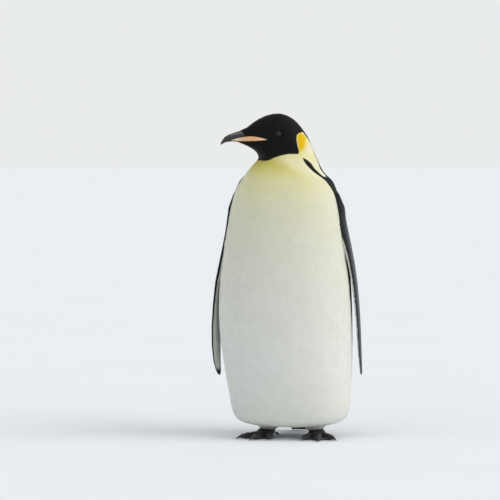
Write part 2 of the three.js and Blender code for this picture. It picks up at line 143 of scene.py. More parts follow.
# The hood's lower edge, as height by forward; the ear patch's front, as forward by height; its top, as height
# by forward; and the back of its deep yellow drop, as forward by height.
HOOD_LOW = ([-24, -4, 6, 15, 25, 35, 46, 57, 68, 78, 84, 87],
            [877.5, 876.8, 877, 875.8, 874, 871.6, 868.3, 865, 860.5, 856.7, 855.3, 857])
PATCH_FRONT = ([877.5, 889, 898, 907, 916, 925, 934.5, 939],
               [-24, -25.4, -23.4, -22, -20.9, -21, -23.2, -25])
PATCH_TOP = ([-76, -71, -65, -58, -51, -47, -43, -36, -30, -24],
             [911, 915, 920, 927.5, 937, 943, 944.6, 942.5, 940.5, 936])
DROP_REAR = ([884, 889, 896, 905, 914.5, 922, 930, 936, 941],
             [-27, -33, -39.4, -45.5, -48.4, -49.6, -48.9, -44.5, -35.7])

# Angles from the front, in degrees by height: where the dark of the nape starts, where the dark of the flank
# and its spur up the neck starts, and where the spur ends. BAND is the width of the black line along the
# flank.
NAPE_EDGE = ([806, 816, 828, 838, 847, 855, 862, 880, 897, 908, 918, 930],
             [91, 100, 108, 119.5, 132, 141, 148, 158, 160, 158, 153, 154])
FLANK_EDGE = ([0, 200, 300, 340, 390, 440, 490, 540, 590, 640, 690,
               740, 760, 784, 800, 812, 821, 834, 852, 861, 868],
              [100, 98, 93, 90, 86, 83, 82.6, 80.6, 78, 75.8, 76.5,
               77.6, 76.6, 71.8, 72, 73.6, 76, 84.6, 97.5, 104.2, 110])
SPUR_REAR = ([806, 810, 815.5, 831, 847.6, 857, 862, 866], [82.5, 82.8, 84, 93.2, 107.5, 111.3, 110, 108])
BAND = ([0, 200, 400, 560, 650, 740, 790, 806], [4, 5, 5, 7, 10, 16, 22, 60])
RIGHT_FLANK_BACK = 0.5  # degrees by which the right flank's edge lies further back
RIGHT_FLANK_AT = (765, 45)  # the height where it does, and how far up and down
SPUR_FROM, SPUR_TO = 806, 870  # the heights between which the flank's dark is a spur up the neck
HOODED_HEIGHTS = (790, 800)  # where the dark of the nape begins
EDGE_BLUR = 1.2  # millimetres to both sides of an edge over which light turns dark

BLACK = "0b0b0c"
SLATE = "5c6068"
# Tones by height for front, sides and back. The front's heights are those under a hood that ends at
# HOOD_HEIGHT, and follow its real edge from FOLLOWS_HOOD up.
HOOD_HEIGHT = 862
FOLLOWS_HOOD = (790, 850)
# The front's tones are partly painted shade: through the middle of the belly they are darker than the
# plumage's own colour. Their yellow is the plumage's own.
FRONT_TONES = ((0, "e2e3d9"), (60, "e9eae2"), (240, "edeee8"), (420, "eaebe1"), (580, "e7e7d7"),
               (680, "e6e5cc"), (735, "e7e5c2"), (797, "e8e3ac"), (838, "e4d97e"), (855, "ddce68"),
               (862, "e0d174"))
SIDE_TONES = ((600, "edede1"), (735, "eeecd6"), (797, "f1eecd"), (830, "f2eec9"), (862, "f0e9b6"),
              (876, "f0e8aa"))
SIDE_ANGLES, SIDE_HEIGHTS = (30, 85), (600, 760)  # where the front's tones turn into the sides'
BACK_TONES = ((0, "484c53"), (150, "50555d"), (320, SLATE), (600, "585c64"), (740, "44484f"), (800, "26272a"),
              (840, BLACK))
BAND_FADES = 12  # millimetres that the flank's black line adds to its own width to turn into slate
NECK_BLACKENS = (800, 850)
# The ear patch's tones, by distance behind its drop, and the paler rim along its front and top.
EAR_TONES = ((-14, "e8b800"), (-4, "ebbd00"), (-1, "eec41c"), (2.5, "f2d568"), (8, "f2e19c"), (16, "efe7be"),
             (26, "eee9ca"))
EAR_RIM, EAR_RIM_WIDTH = "f2dc8a", (1.4, 4.2)
EAR_ABOVE, EAR_BEHIND = (868, 890), (16, 26)  # heights above which, and distances back at which, they start


def step(distance, blur=EDGE_BLUR):
    return smoothstep(distance, -blur, blur)


def plumage_colours(points):
    """The colours of head, neck and trunk."""
    forward, left, up = straightened(points)
    angle = np.degrees(np.arctan2(np.abs(left), forward))
    reach = np.radians(1) * np.hypot(forward, left)  # one degree of angle, in millimetres of surface
    hood_low = np.interp(forward, *HOOD_LOW)
    behind_front = np.interp(up, *PATCH_FRONT) - forward
    below_top = np.interp(forward, *PATCH_TOP) - up

    front = ramp(up + (HOOD_HEIGHT - hood_low) * smoothstep(up, *FOLLOWS_HOOD), FRONT_TONES)
    pale = mixed(front, ramp(up, SIDE_TONES), smoothstep(angle, *SIDE_ANGLES) * smoothstep(up, *SIDE_HEIGHTS))
    ear = ramp(np.interp(up, *DROP_REAR) - forward, EAR_TONES)
    ear = mixed(linear(EAR_RIM), ear, smoothstep(np.minimum(behind_front, below_top), *EAR_RIM_WIDTH))
    pale = mixed(pale, ear, smoothstep(up, *EAR_ABOVE) * smoothstep(-forward, *EAR_BEHIND))

    throat = step(hood_low - up)
    patch = step(behind_front) * step(below_top)
    open_nape = step((np.interp(up, *NAPE_EDGE) - angle) * reach)
    hooded = (1 - np.maximum(throat, patch) * open_nape) * smoothstep(up, *HOODED_HEIGHTS)

    flank_edge = np.interp(up, *FLANK_EDGE) + RIGHT_FLANK_BACK * (left < 0) * bell(up, *RIGHT_FLANK_AT)
    behind_flank = (angle - flank_edge) * reach
    spur = np.where(up > SPUR_FROM, step((np.interp(up, *SPUR_REAR) - angle) * reach), 1)
    flank = step(behind_flank) * spur * (up < SPUR_TO)
    band = np.interp(up, *BAND) * reach
    dark = mixed(linear(BLACK), ramp(up, BACK_TONES), smoothstep(behind_flank, band, band * 2 + BAND_FADES))
    dark = mixed(dark, linear(BLACK), smoothstep(up, *NECK_BLACKENS))
    return mixed(pale, dark, np.maximum(hooded, flank))


# Tones across a flipper, from its leading edge at 0 to its trailing edge at 1.
OUTER_TONES = ((0, "101112"), (0.05, "17181a"), (0.16, "3a3d42"), (0.32, "54585f"), (0.8, SLATE),
               (1, "50545b"))
INNER_TONES = ((0, "dddeda"), (0.1, "ecede9"), (0.8, "f0f1ee"), (0.93, "dfe1df"), (1, "8b8f94"))
LEADING_LINE = {"left": 0.0, "right": 0.045}  # how much of the inner face the dark leading edge takes
LINE_FADES = 0.03
WHITE_ROUND_EDGE = ([560, 640], [0.35, -0.6])  # how far out the white still faces, by height
TRAILING_DARK = (0.78, 0.94)  # where across the inner face the trailing edge's slate begins
FACE_BLUR = 0.15
ARM_DARK, ARM_HEIGHTS, ARM_ACROSS = "26282b", (540, 700), (0.3, 0.9)
SHOULDER_HEIGHTS = (655, 750)  # where the flipper takes the colours of the shoulder
SHOULDER_ACROSS, SHOULDER_TOP = (0.45, 0.95), (715, 760)
LINE_DARK = "151618"
TIP_DARK, TIP_BELOW = "2e3035", (-214, -198)
ARMPIT_DARK, ARMPIT_HEIGHTS = "1c1d20", (600, 680)


def flipper_colours(points, normals, side):
    """The colours of one flipper: slate outside, white inside. High up its leading edge is dark, and lower
    down the white comes round the edge to a thin black line."""
    across = chord_place(points, EDGES[side])
    up = points[:, 2] / MM
    slate = ramp(across, OUTER_TONES)
    slate = mixed(slate, linear(ARM_DARK),
                  smoothstep(up, *ARM_HEIGHTS) * (0.7 - 0.6 * smoothstep(across, *ARM_ACROSS)))
    towards_back = smoothstep(across, *SHOULDER_ACROSS) * (1 - 0.8 * smoothstep(up, *SHOULDER_TOP))
    shoulder = mixed(linear(BLACK), ramp(up, BACK_TONES), towards_back)
    slate = mixed(slate, shoulder, smoothstep(up, *SHOULDER_HEIGHTS))
    line = LEADING_LINE[side]
    inner = ramp(across, INNER_TONES)
    inner = mixed(inner, linear(LINE_DARK), (1 - smoothstep(across, line, line + LINE_FADES)) * (line > 0))
    inner = mixed(inner, linear(TIP_DARK), smoothstep(-up, *TIP_BELOW))
    inner = mixed(inner, linear(ARMPIT_DARK), smoothstep(up, *ARMPIT_HEIGHTS))
    turned_out = normals[:, 0] * SIDES[side] - np.interp(up, *WHITE_ROUND_EDGE)
    return mixed(inner, slate, step(turned_out + smoothstep(across, *TRAILING_DARK), FACE_BLUR))


TAIL_TONES = ((80, "50555d"), (105, "3a3d43"), (135, "222327"), (210, "1d1e21"))  # by distance back
LEG_TONES = ((0, "4a4a4c"), (14, "8a8a88"), (24, "d9d9d4"), (60, "efefea"))  # by height
LEG_BACK, LEG_BACK_FROM = "3b3d42", (0, 22)


def tail_colours(points):
    forward, _, _ = straightened(points)
    return ramp(-forward, TAIL_TONES)


def leg_colours(points):
    """White in front and slate behind, darker grey low down at the foot."""
    forward, _, up = straightened(points)
    return mixed(ramp(up, LEG_TONES), linear(LEG_BACK), smoothstep(-forward, *LEG_BACK_FROM))


# ---- Meshes from the frame


DOUBLES = 0.01  # vertices no further apart than this are one
HELD_OPEN = 4.5  # how far the flippers are swung out while the skin is made, so that none fuses with the body
OPEN_HEIGHTS = (545, 605)


def swing(name, up):
    """How far sideways a part stands while the skin is made, in metres."""
    if not name.startswith("flipper"):
        return 0 * up
    sign = SIDES[name.removeprefix("flipper_")]
    return sign * HELD_OPEN * MM * (1 - smoothstep(up / MM, *OPEN_HEIGHTS))


def welded(*names, grow=0.0, swung=False):
    """Copies of these nodes in one bmesh, each with its doubles merged, and grown to meet its neighbours."""
    whole = bmesh.new()
    for name in names:
        part = bmesh.new()
        part.from_mesh(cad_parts[name].data)
        bmesh.ops.remove_doubles(part, verts=part.verts, dist=DOUBLES * MM)
        if swung and name.startswith("flipper"):
            bmesh.ops.subdivide_edges(part, edges=part.edges, cuts=3, use_grid_fill=True)
        part.normal_update()
        for vert in part.verts:
            vert.co += vert.normal * grow
            if swung:
                vert.co.x += swing(name, vert.co.z)
        mesh = bpy.data.meshes.new("part")
        part.to_mesh(mesh)
        whole.from_mesh(mesh)
        bpy.data.meshes.remove(mesh)
        part.free()
    return whole


def placed(name, mesh):
    """An object at the origin, from a mesh or a bmesh."""
    if isinstance(mesh, bmesh.types.BMesh):
        data = bpy.data.meshes.new(name)
        mesh.to_mesh(data)
        mesh.free()
        mesh = data
    made = bpy.data.objects.new(name, mesh)
    bpy.context.scene.collection.objects.link(made)
    return made


def finished(name, mesh, *modifiers):
    """An object whose mesh has had these modifiers, given as (type, settings), made real."""
    rough = placed(name + "_rough", mesh)
    for kind, settings in modifiers:
        modifier = rough.modifiers.new(kind.lower(), kind)
        for key, value in settings.items():
            setattr(modifier, key, value)
    evaluated = rough.evaluated_get(bpy.context.evaluated_depsgraph_get())
    data = bpy.data.meshes.new_from_object(evaluated)
    bpy.data.objects.remove(rough)
    made = placed(name, data)
    made.data.name = name
    made.data.shade_smooth()
    return made


def largest_only(mesh):
    """Removes every island of a mesh but the largest: what a remesh leaves inside."""
    shape = bmesh.new()
    shape.from_mesh(mesh)
    shape.verts.ensure_lookup_table()
    island = [-1] * len(shape.verts)
    sizes = []
    for start in shape.verts:
        if island[start.index] >= 0:
            continue
        island[start.index] = len(sizes)
        waiting, size = [start], 0
        while waiting:
            vert = waiting.pop()
            size += 1
            for edge in vert.link_edges:
                other = edge.other_vert(vert)
                if island[other.index] < 0:
                    island[other.index] = len(sizes)
                    waiting.append(other)
        sizes.append(size)
    keep = sizes.index(max(sizes))
    stray = [vert for vert in shape.verts if island[vert.index] != keep]
    bmesh.ops.delete(shape, geom=stray, context="VERTS")
    shape.to_mesh(mesh)
    shape.free()


def vertex_arrays(mesh):
    """The places and normals of a mesh's vertices."""
    places = np.empty(len(mesh.vertices) * 3, dtype=np.float32)
    normals = np.empty_like(places)
    mesh.vertices.foreach_get("co", places)
    mesh.vertices.foreach_get("normal", normals)
    return places.reshape(-1, 3).astype(float), normals.reshape(-1, 3).astype(float)


def move_to(mesh, places):
    """Puts a mesh's vertices at these places."""
    mesh.vertices.foreach_set("co", places.ravel())
    mesh.update()


def edge_ends(mesh):
    """The pair of vertices at the ends of each edge."""
    ends = np.empty(len(mesh.edges) * 2, dtype=np.int32)
    mesh.edges.foreach_get("vertices", ends)
    return ends.reshape(-1, 2)


def spread(mesh, values, rounds):
    """Values at vertices, each averaged with its neighbours that many times."""
    a, b = edge_ends(mesh).T
    count = np.bincount(a, minlength=len(values)) + np.bincount(b, minlength=len(values)) + 1
    for _ in range(rounds):
        total = values + np.bincount(a, values[b], len(values)) + np.bincount(b, values[a], len(values))
        values = total / count
    return values


def spread_rows(mesh, rows, rounds):
    """The same for a row of three values at each vertex."""
    return np.stack([spread(mesh, column, rounds) for column in rows.T], axis=1)


PASS_IN, PASS_OUT = 0.5, -0.52  # shares of the way to the neighbours' middle; the second undoes shrinking


def relaxed(mesh, places, rounds):
    """Vertex places with their facets smoothed away, each pass in followed by a pass out, so nothing
    shrinks."""
    for _ in range(rounds):
        for share in (PASS_IN, PASS_OUT):
            places = places + share * (spread_rows(mesh, places, 1) - places)
    return places


def shell(name, bodies, voxel, rounds, *modifiers):
    """These bodies as one closed shell of even faces, relaxed, and finished by the modifiers."""
    rough = finished(name + "_shell", bodies, ("REMESH", {"mode": "VOXEL", "voxel_size": voxel * MM}))
    largest_only(rough.data)
    move_to(rough.data, relaxed(rough.data, vertex_arrays(rough.data)[0], rounds))
    mesh = rough.data
    bpy.data.objects.remove(rough)
    return finished(name, mesh, *modifiers)


def surface(name):
    """The surface of a node, to find the nearest place on it by."""
    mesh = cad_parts[name].data
    return BVHTree.FromPolygons([vert.co for vert in mesh.vertices],
                                [face.vertices[:] for face in mesh.polygons])


def paint(mesh, colours, name="plumage"):
    """Stores one linear colour for each vertex."""
    layer = mesh.color_attributes.new(name, "FLOAT_COLOR", "POINT")
    solid = np.column_stack([colours, np.ones(len(colours))])
    layer.data.foreach_set("color", solid.astype(np.float32).ravel())


def kept(piece, slot, *nodes, body="root"):
    """A finished piece: it rides on the body and stands for these nodes. The slot is not used."""
    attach(piece, body)
    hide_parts(*nodes)
    return piece


# ---- Materials


def material(name):
    """An empty node material and its tree."""
    made = bpy.data.materials.new(name)
    made.use_nodes = True
    made.node_tree.nodes.clear()
    return made, made.node_tree


def node(tree, kind, sockets=None, **properties):
    """Adds one node: its properties, then each socket's value, or the output that feeds it."""
    made = tree.nodes.new("ShaderNode" + kind)
    for name, value in properties.items():
        setattr(made, name, value)
    for name, value in (sockets or {}).items():
        if isinstance(value, bpy.types.NodeSocket):
            tree.links.new(value, made.inputs[name])
        else:
            made.inputs[name].default_value = value
    return made


def feathers(name, roughness, tip_tone, barbs):
    """Contour feathers: a satin vane whose barbs catch light in slanting lines, a raised shaft and a tip of
    its own tone. Single barbs are too fine to show, so they are drawn as bundles a few millimetres apart.
    Pale vanes let some light through, which softens the shade between them."""
    made, tree = material(name)
    plumage = node(tree, "Attribute", attribute_name="plumage").outputs["Color"]
    vane = node(tree, "UVMap", uv_map="vane").outputs["UV"]
    across, along = node(tree, "SeparateXYZ", {"Vector": vane}).outputs[:2]
    centred = node(tree, "Math", {0: across, 1: 0.5}, operation="SUBTRACT").outputs[0]
    off_shaft = node(tree, "Math", {0: centred}, operation="ABSOLUTE").outputs[0]

    at_tip = node(tree, "MapRange", {"Value": along, "From Min": 0.78, "From Max": 1.0, "To Min": 1.0,
                                     "To Max": tip_tone}, interpolation_type="SMOOTHSTEP").outputs[0]
    place = node(tree, "TexCoord").outputs["Object"]
    drift = node(tree, "TexNoise", {"Vector": place, "Scale": 1 / (26 * MM), "Detail": 2.0}).outputs["Fac"]
    tone = node(tree, "MapRange", {"Value": drift, "To Min": 0.94, "To Max": 1.06}).outputs[0]
    both = node(tree, "Math", {0: tone, 1: at_tip}, operation="MULTIPLY").outputs[0]
    colour = node(tree, "VectorMath", {0: plumage, "Scale": both}, operation="SCALE").outputs[0]

    slant = node(tree, "Math", {0: off_shaft, 1: -0.6, 2: along}, operation="MULTIPLY_ADD").outputs[0]
    phase = node(tree, "Math", {0: slant, 1: barbs}, operation="MULTIPLY").outputs[0]
    barb = node(tree, "Math", {0: phase}, operation="SINE").outputs[0]
    shaft = node(tree, "MapRange", {"Value": off_shaft, "From Min": 0.02, "From Max": 0.1, "To Min": 0.35,
                                    "To Max": 0.0}).outputs[0]
    relief = node(tree, "Math", {0: barb, 1: 0.5, 2: shaft}, operation="MULTIPLY_ADD").outputs[0]
    bump = node(tree, "Bump", {"Height": relief, "Strength": 0.35, "Distance": 0.15 * MM}).outputs[0]

    light = node(tree, "RGBToBW", {"Color": plumage}).outputs[0]
    pale = node(tree, "MapRange", {"Value": light, "From Min": 0.02, "From Max": 0.4}).outputs[0]
    through = node(tree, "Math", {0: pale, 1: 0.35}, operation="MULTIPLY").outputs[0]
    shader = node(tree, "BsdfPrincipled", {"Base Color": colour, "Roughness": roughness, "IOR": 1.54,
                                           "Specular IOR Level": 0.1, "Sheen Weight": 0.02,
                                           "Sheen Roughness": 0.4, "Subsurface Weight": through,
                                           "Subsurface Radius": (1.0, 1.0, 1.0),
                                           "Subsurface Scale": 1.5 * MM, "Normal": bump}).outputs[0]
    node(tree, "OutputMaterial", {"Surface": shader})
    return made


def down():
    """Skin under the coat: matt down in the coat's own markings, uneven at the size of a few barbs, so that
    whatever shows between vanes reads as plumage in shade."""
    made, tree = material("down_over_skin")
    plumage = node(tree, "Attribute", attribute_name="plumage").outputs["Color"]
    place = node(tree, "TexCoord").outputs["Object"]
    fluff = node(tree, "TexNoise", {"Vector": place, "Scale": 1 / (2.2 * MM), "Detail": 3.0}).outputs["Fac"]
    shade = node(tree, "MapRange", {"Value": fluff, "To Min": 0.88, "To Max": 1.0}).outputs[0]
    colour = node(tree, "VectorMath", {0: plumage, "Scale": shade}, operation="SCALE").outputs[0]
    bump = node(tree, "Bump", {"Height": fluff, "Strength": 0.5, "Distance": 0.6 * MM}).outputs[0]
    shader = node(tree, "BsdfPrincipled", {"Base Color": colour, "Roughness": 0.85, "IOR": 1.54,
                                           "Sheen Weight": 0.05, "Normal": bump}).outputs[0]
    node(tree, "OutputMaterial", {"Surface": shader})
    return made


def horn(name, roughness, growth, turn=0.0, tones=None):
    """Keratin of bill and claws: hard horn, polished by use, with fine streaks along its length, worn paler
    in places, and faint growth lines. The streaks run along Y, turned about Z by this angle. Its colour lies
    between the two tones, or is painted on the piece."""
    made, tree = material(name)
    place = node(tree, "TexCoord").outputs["Object"]
    drawn_out = node(tree, "Mapping", {"Vector": place, "Rotation": (0, 0, turn), "Scale": (1, 9, 1)},
                     vector_type="TEXTURE").outputs[0]
    streak = node(tree, "TexNoise", {"Vector": drawn_out, "Scale": 1 / (1.6 * MM),
                                     "Detail": 3.0}).outputs["Fac"]
    wear = node(tree, "TexNoise", {"Vector": place, "Scale": 1 / (11 * MM), "Detail": 2.0}).outputs["Fac"]
    fine = node(tree, "TexNoise", {"Vector": place, "Scale": 1 / (growth * MM), "Detail": 3.0,
                                   "Distortion": 0.6}).outputs["Fac"]
    half_wear = node(tree, "Math", {0: wear, 1: 0.5}, operation="MULTIPLY").outputs[0]
    worn = node(tree, "Math", {0: streak, 1: 0.5, 2: half_wear}, operation="MULTIPLY_ADD").outputs[0]
    if tones:
        share = node(tree, "MapRange", {"Value": worn, "From Min": 0.3, "From Max": 0.7}).outputs[0]
        colour = node(tree, "Mix", {"Factor": share, 6: rgba(tones[0]), 7: rgba(tones[1])},
                      data_type="RGBA").outputs[2]
    else:
        painted = node(tree, "Attribute", attribute_name="tone").outputs["Color"]
        share = node(tree, "MapRange", {"Value": worn, "To Min": 0.86, "To Max": 1.1}).outputs[0]
        colour = node(tree, "VectorMath", {0: painted, "Scale": share}, operation="SCALE").outputs[0]
    rough = node(tree, "MapRange", {"Value": fine, "To Min": roughness - 0.06,
                                    "To Max": roughness + 0.1}).outputs[0]
    height = node(tree, "Math", {0: streak, 1: 0.6, 2: fine}, operation="MULTIPLY_ADD").outputs[0]
    bump = node(tree, "Bump", {"Height": height, "Strength": 0.25, "Distance": 0.12 * MM}).outputs[0]
    shader = node(tree, "BsdfPrincipled", {"Base Color": colour, "Roughness": rough, "IOR": 1.55,
                                           "Normal": bump}).outputs[0]
    node(tree, "OutputMaterial", {"Surface": shader})
    return made


def scaled_skin():
    """Bare skin of the feet: black, leathery and dull, set with small horny scales, its creases filled with
    grey dust."""
    made, tree = material("scaled_foot_skin")
    place = node(tree, "TexCoord").outputs["Object"]
    scales = node(tree, "TexVoronoi", {"Vector": place, "Scale": 1 / (2.6 * MM)}, feature="DISTANCE_TO_EDGE")
    edge = node(tree, "MapRange", {"Value": scales.outputs["Distance"], "From Max": 0.16}).outputs[0]
    cloud = node(tree, "TexNoise", {"Vector": place, "Scale": 1 / (9 * MM), "Detail": 4.0}).outputs["Fac"]
    base = node(tree, "Mix", {"Factor": cloud, 6: rgba("1b1a1c"), 7: rgba("2f2d2f")},
                data_type="RGBA").outputs[2]
    colour = node(tree, "Mix", {"Factor": edge, 6: rgba("454246"), 7: base}, data_type="RGBA").outputs[2]
    bump = node(tree, "Bump", {"Height": edge, "Strength": 0.7, "Distance": 0.4 * MM}).outputs[0]
    shader = node(tree, "BsdfPrincipled", {"Base Color": colour, "Roughness": 0.55, "IOR": 1.5,
                                           "Normal": bump}).outputs[0]
    node(tree, "OutputMaterial", {"Surface": shader})
    return made


# The eye's tones by distance from its axis, as shares of IRIS_REACH: pupil, iris, and the dark round it.
IRIS_REACH = 9.0
IRIS_STOPS = ((0.30, "050505"), (0.36, "2e1b11"), (0.56, "22140b"), (0.66, "0e0907"), (0.8, "0b0a0a"))


def wet_eye():
    """Eyeball: a dark brown iris round a black pupil, under a wet, clear and very smooth cornea."""
    made, tree = material("wet_eye")
    off_axis = node(tree, "Attribute", attribute_name="off_axis").outputs["Fac"]
    place = node(tree, "TexCoord").outputs["Object"]
    fibre = node(tree, "TexNoise", {"Vector": place, "Scale": 1 / (0.7 * MM), "Detail": 2.0}).outputs["Fac"]
    frayed = node(tree, "Math", {0: fibre, 1: 0.5, 2: off_axis}, operation="MULTIPLY_ADD").outputs[0]
    share = node(tree, "MapRange", {"Value": frayed, "From Max": IRIS_REACH}).outputs[0]
    tone = node(tree, "ValToRGB", {"Fac": share})
    stops = tone.color_ramp.elements
    for index, (position, code) in enumerate(IRIS_STOPS):
        stop = stops[index] if index < 2 else stops.new(position)  # a new ramp has two stops
        stop.position, stop.color = position, rgba(code)
    shader = node(tree, "BsdfPrincipled", {"Base Color": tone.outputs["Color"], "Roughness": 0.3, "IOR": 1.38,
                                           "Specular IOR Level": 0.0, "Coat Weight": 1.0, "Coat IOR": 1.38,
                                           "Coat Roughness": 0.02}).outputs[0]
    node(tree, "OutputMaterial", {"Surface": shader})
    return made


def lid_skin():
    """Bare lids: thin dark grey skin with fine folds round the eye, slightly moist."""
    made, tree = material("bare_lid_skin")
    place = node(tree, "TexCoord").outputs["Object"]
    folds = node(tree, "TexNoise", {"Vector": place, "Scale": 1 / (0.9 * MM), "Detail": 3.0}).outputs["Fac"]
    colour = node(tree, "Mix", {"Factor": folds, 6: rgba("131214"), 7: rgba("2a2826")},
                  data_type="RGBA").outputs[2]
    bump = node(tree, "Bump", {"Height": folds, "Strength": 0.5, "Distance": 0.2 * MM}).outputs[0]
    shader = node(tree, "BsdfPrincipled", {"Base Color": colour, "Roughness": 0.5, "IOR": 1.45,
                                           "Normal": bump}).outputs[0]
    node(tree, "OutputMaterial", {"Surface": shader})
    return made


# ---- Skin


SKIN_VOXEL = 2.2
SKIN_ROUNDS = 24  # of relaxing
SKIN_FACES = 0.28  # the share of the shell's faces that stays
JOIN = 0.4  # how far each copy is grown, to close the cuts between nodes
SKIN_LOWEST = 1.0  # the skin stays this high above the floor

FORM_VOXEL = 13.0
FORM_ROUNDS = 30
FORM_GROW = 1.0  # makes up for what rounding takes off
FORM_TOP = (845, 880)  # above this the head keeps its own form
FORM_BLEND = 30  # rounds of spreading, over which the rounded trunk meets the other parts

BASE_FEATHERS = 5.0  # how far small feathers grow over the base of the bill
BILL_BASE = (150, 0, 930)  # forward, left, up
EYE_PLACE = (32, 940)  # forward, up
EYE_OUT = 45.4
EYE_RADIUS = 10.0
EYE_OPENING = (6.6, 5.6)  # half its width and half its height
EYE_DISH = 2.2  # how much deeper the skin lies where it passes under the ball
DISH_RIM = (0.8, 1.7)  # from and to where the dish rises, 1 being the rim of the opening
EYE_SURROUND = (1.4, 2.8)  # the same for what counts as near the eye

# How deep the coat is. On the head it grows from HEAD_COAT by HEAD_COAT_MORE with the distance from the bill.
TRUNK_COAT = 1.0
HEAD_COAT, HEAD_COAT_MORE, HEAD_COAT_FROM_BILL = 0.7, 0.4, (15, 130)
FLIPPER_COAT, LEG_COAT, TAIL_COAT = 0.7, 1.3, 1.8
BILL_COAT = 1.6  # the skin lies this deep under the bill, which covers it


def owners(points):
    """The node that each point of the skin belongs to, as an index into PARTS."""
    places, faces, owner = [], [], []
    for index, name in enumerate(PARTS):
        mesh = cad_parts[name].data
        first = len(places)
        places += [vert.co + Vector((swing(name, vert.co.z), 0, 0)) for vert in mesh.vertices]
        faces += [[first + i for i in face.vertices] for face in mesh.polygons]
        owner += [index] * len(mesh.polygons)
    tree = BVHTree.FromPolygons(places, faces)
    nearest = np.array([owner[tree.find_nearest(Vector(point))[2]] for point in points])
    nearest[on_parts(nearest, *EYES)] = PARTS.index("head")
    head = surface("head")
    for index in np.nonzero(on_parts(nearest, *BILL))[0]:
        if head.find_nearest(Vector(points[index]), BASE_FEATHERS * MM)[0] is not None:
            nearest[index] = PARTS.index("head")
    return nearest


def flipper_edges(side):
    """The leading and trailing edges of a flipper's solid, as y by height, in metres."""
    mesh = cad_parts["flipper_" + side].data
    places, _ = vertex_arrays(mesh)
    low, high = (places[end] for end in edge_ends(mesh).T)
    levels, lead, trail = [], [], []
    for level in np.arange(places[:, 2].min() + 2 * MM, places[:, 2].max(), 8 * MM):
        over = (low[:, 2] - level) * (high[:, 2] - level) < 0
        share = (level - low[over, 2]) / (high[over, 2] - low[over, 2])
        y = low[over, 1] + (high[over, 1] - low[over, 1]) * share
        levels.append(level)
        lead.append(y.min())
        trail.append(y.max())
    return levels, lead, trail


def chord_place(points, edges):
    """0 at a flipper's leading edge, 1 at its trailing edge."""
    levels, lead, trail = edges
    lead = np.interp(points[:, 2], levels, lead)
    trail = np.interp(points[:, 2], levels, trail)
    return np.clip((points[:, 1] - lead) / (trail - lead), 0, 1)


EDGES = {side: flipper_edges(side) for side in SIDES}


def colours_at(points, normals, owner):
    """The coat's colour at each point, whichever part it is on."""
    colours = plumage_colours(points)
    for side in SIDES:
        on = on_parts(owner, "flipper_" + side)
        colours[on] = flipper_colours(points[on], normals[on], side)
        on = on_parts(owner, "leg_" + side)
        colours[on] = leg_colours(points[on])
    on = on_parts(owner, "tail")
    colours[on] = tail_colours(points[on])
    return colours


def from_eye(points, margin=0.0):
    """1 on the rim of an eye's opening widened by this margin, less inside and more outside."""
    forward, _, up = straightened(points)
    return np.hypot((forward - EYE_PLACE[0]) / (EYE_OPENING[0] + margin),
                    (up - EYE_PLACE[1]) / (EYE_OPENING[1] + margin))


def near_eye(points):
    """1 on the rim of an eye, falling to 0 a few millimetres away."""
    return 1 - smoothstep(from_eye(points), *EYE_SURROUND)


def from_bill(points):
    """Millimetres from the base of the bill."""
    forward, left, up = straightened(points)
    return np.sqrt((forward - BILL_BASE[0]) ** 2 + left ** 2 + (up - BILL_BASE[2]) ** 2)


def coat_depth(points, owner):
    """How deep the coat is at each point, in millimetres."""
    depth = np.full(len(points), TRUNK_COAT)
    on = on_parts(owner, "head")
    depth[on] = (HEAD_COAT + HEAD_COAT_MORE * smoothstep(from_bill(points), *HEAD_COAT_FROM_BILL)
                 + EYE_DISH * (1 - smoothstep(from_eye(points), *DISH_RIM)))[on]
    depth[on_parts(owner, "flipper_left", "flipper_right")] = FLIPPER_COAT
    depth[on_parts(owner, "leg_left", "leg_right")] = LEG_COAT
    depth[on_parts(owner, "tail")] = TAIL_COAT
    depth[on_parts(owner, *BILL)] = BILL_COAT
    return depth


def rounded(skin, owner, on_trunk):
    """The skin's vertices with the facets of the solids' trunk rounded away, and the flippers let down
    again."""
    form = shell("form", welded(*TRUNK, grow=(JOIN + FORM_GROW) * MM), FORM_VOXEL, FORM_ROUNDS,
                 ("SUBSURF", {"levels": 2, "render_levels": 2}))
    tree = BVHTree.FromObject(form, bpy.context.evaluated_depsgraph_get())
    bpy.data.objects.remove(form)
    places, _ = vertex_arrays(skin.data)
    share = spread(skin.data, on_trunk.astype(float), FORM_BLEND) ** 2
    share *= 1 - smoothstep(places[:, 2] / MM, *FORM_TOP)
    places = mixed(places, np.array([tree.find_nearest(Vector(place))[0] for place in places]), share)
    for side in SIDES:
        name = "flipper_" + side
        at_flipper = spread(skin.data, on_parts(owner, name).astype(float), 3)
        places[:, 0] -= swing(name, places[:, 2]) * at_flipper
    return places


def evened(skin, normals, on_trunk):
    """The skin's normals, with the trunk's each averaged with its neighbours', so that no sliver of a face
    turns a feather aside."""
    return np.where(on_trunk[:, None], unit(spread_rows(skin.data, normals, 3)), normals)


skin = shell("skin", welded(*PARTS, grow=JOIN * MM, swung=True), SKIN_VOXEL, SKIN_ROUNDS,
             ("DECIMATE", {"ratio": SKIN_FACES}))
places, _ = vertex_arrays(skin.data)
skin_owner = owners(places)
skin_on_trunk = on_parts(skin_owner, *TRUNK) & (
    ~on_parts(skin_owner, "head") | (places[:, 2] < FORM_TOP[0] * MM))
move_to(skin.data, rounded(skin, skin_owner, skin_on_trunk))

places, normals = vertex_arrays(skin.data)
depth = spread(skin.data, coat_depth(places, skin_owner), 2) + JOIN
places -= evened(skin, normals, skin_on_trunk) * (depth * MM)[:, None]
places[:, 2] = np.maximum(places[:, 2], SKIN_LOWEST * MM)
move_to(skin.data, places)

places, normals = vertex_arrays(skin.data)
paint(skin.data, colours_at(places, normals, skin_owner))
skin.data.materials.append(down())
kept(skin, "white_feathers", *FLESH)
skin_tree = BVHTree.FromObject(skin, bpy.context.evaluated_depsgraph_get())


# ---- Coat


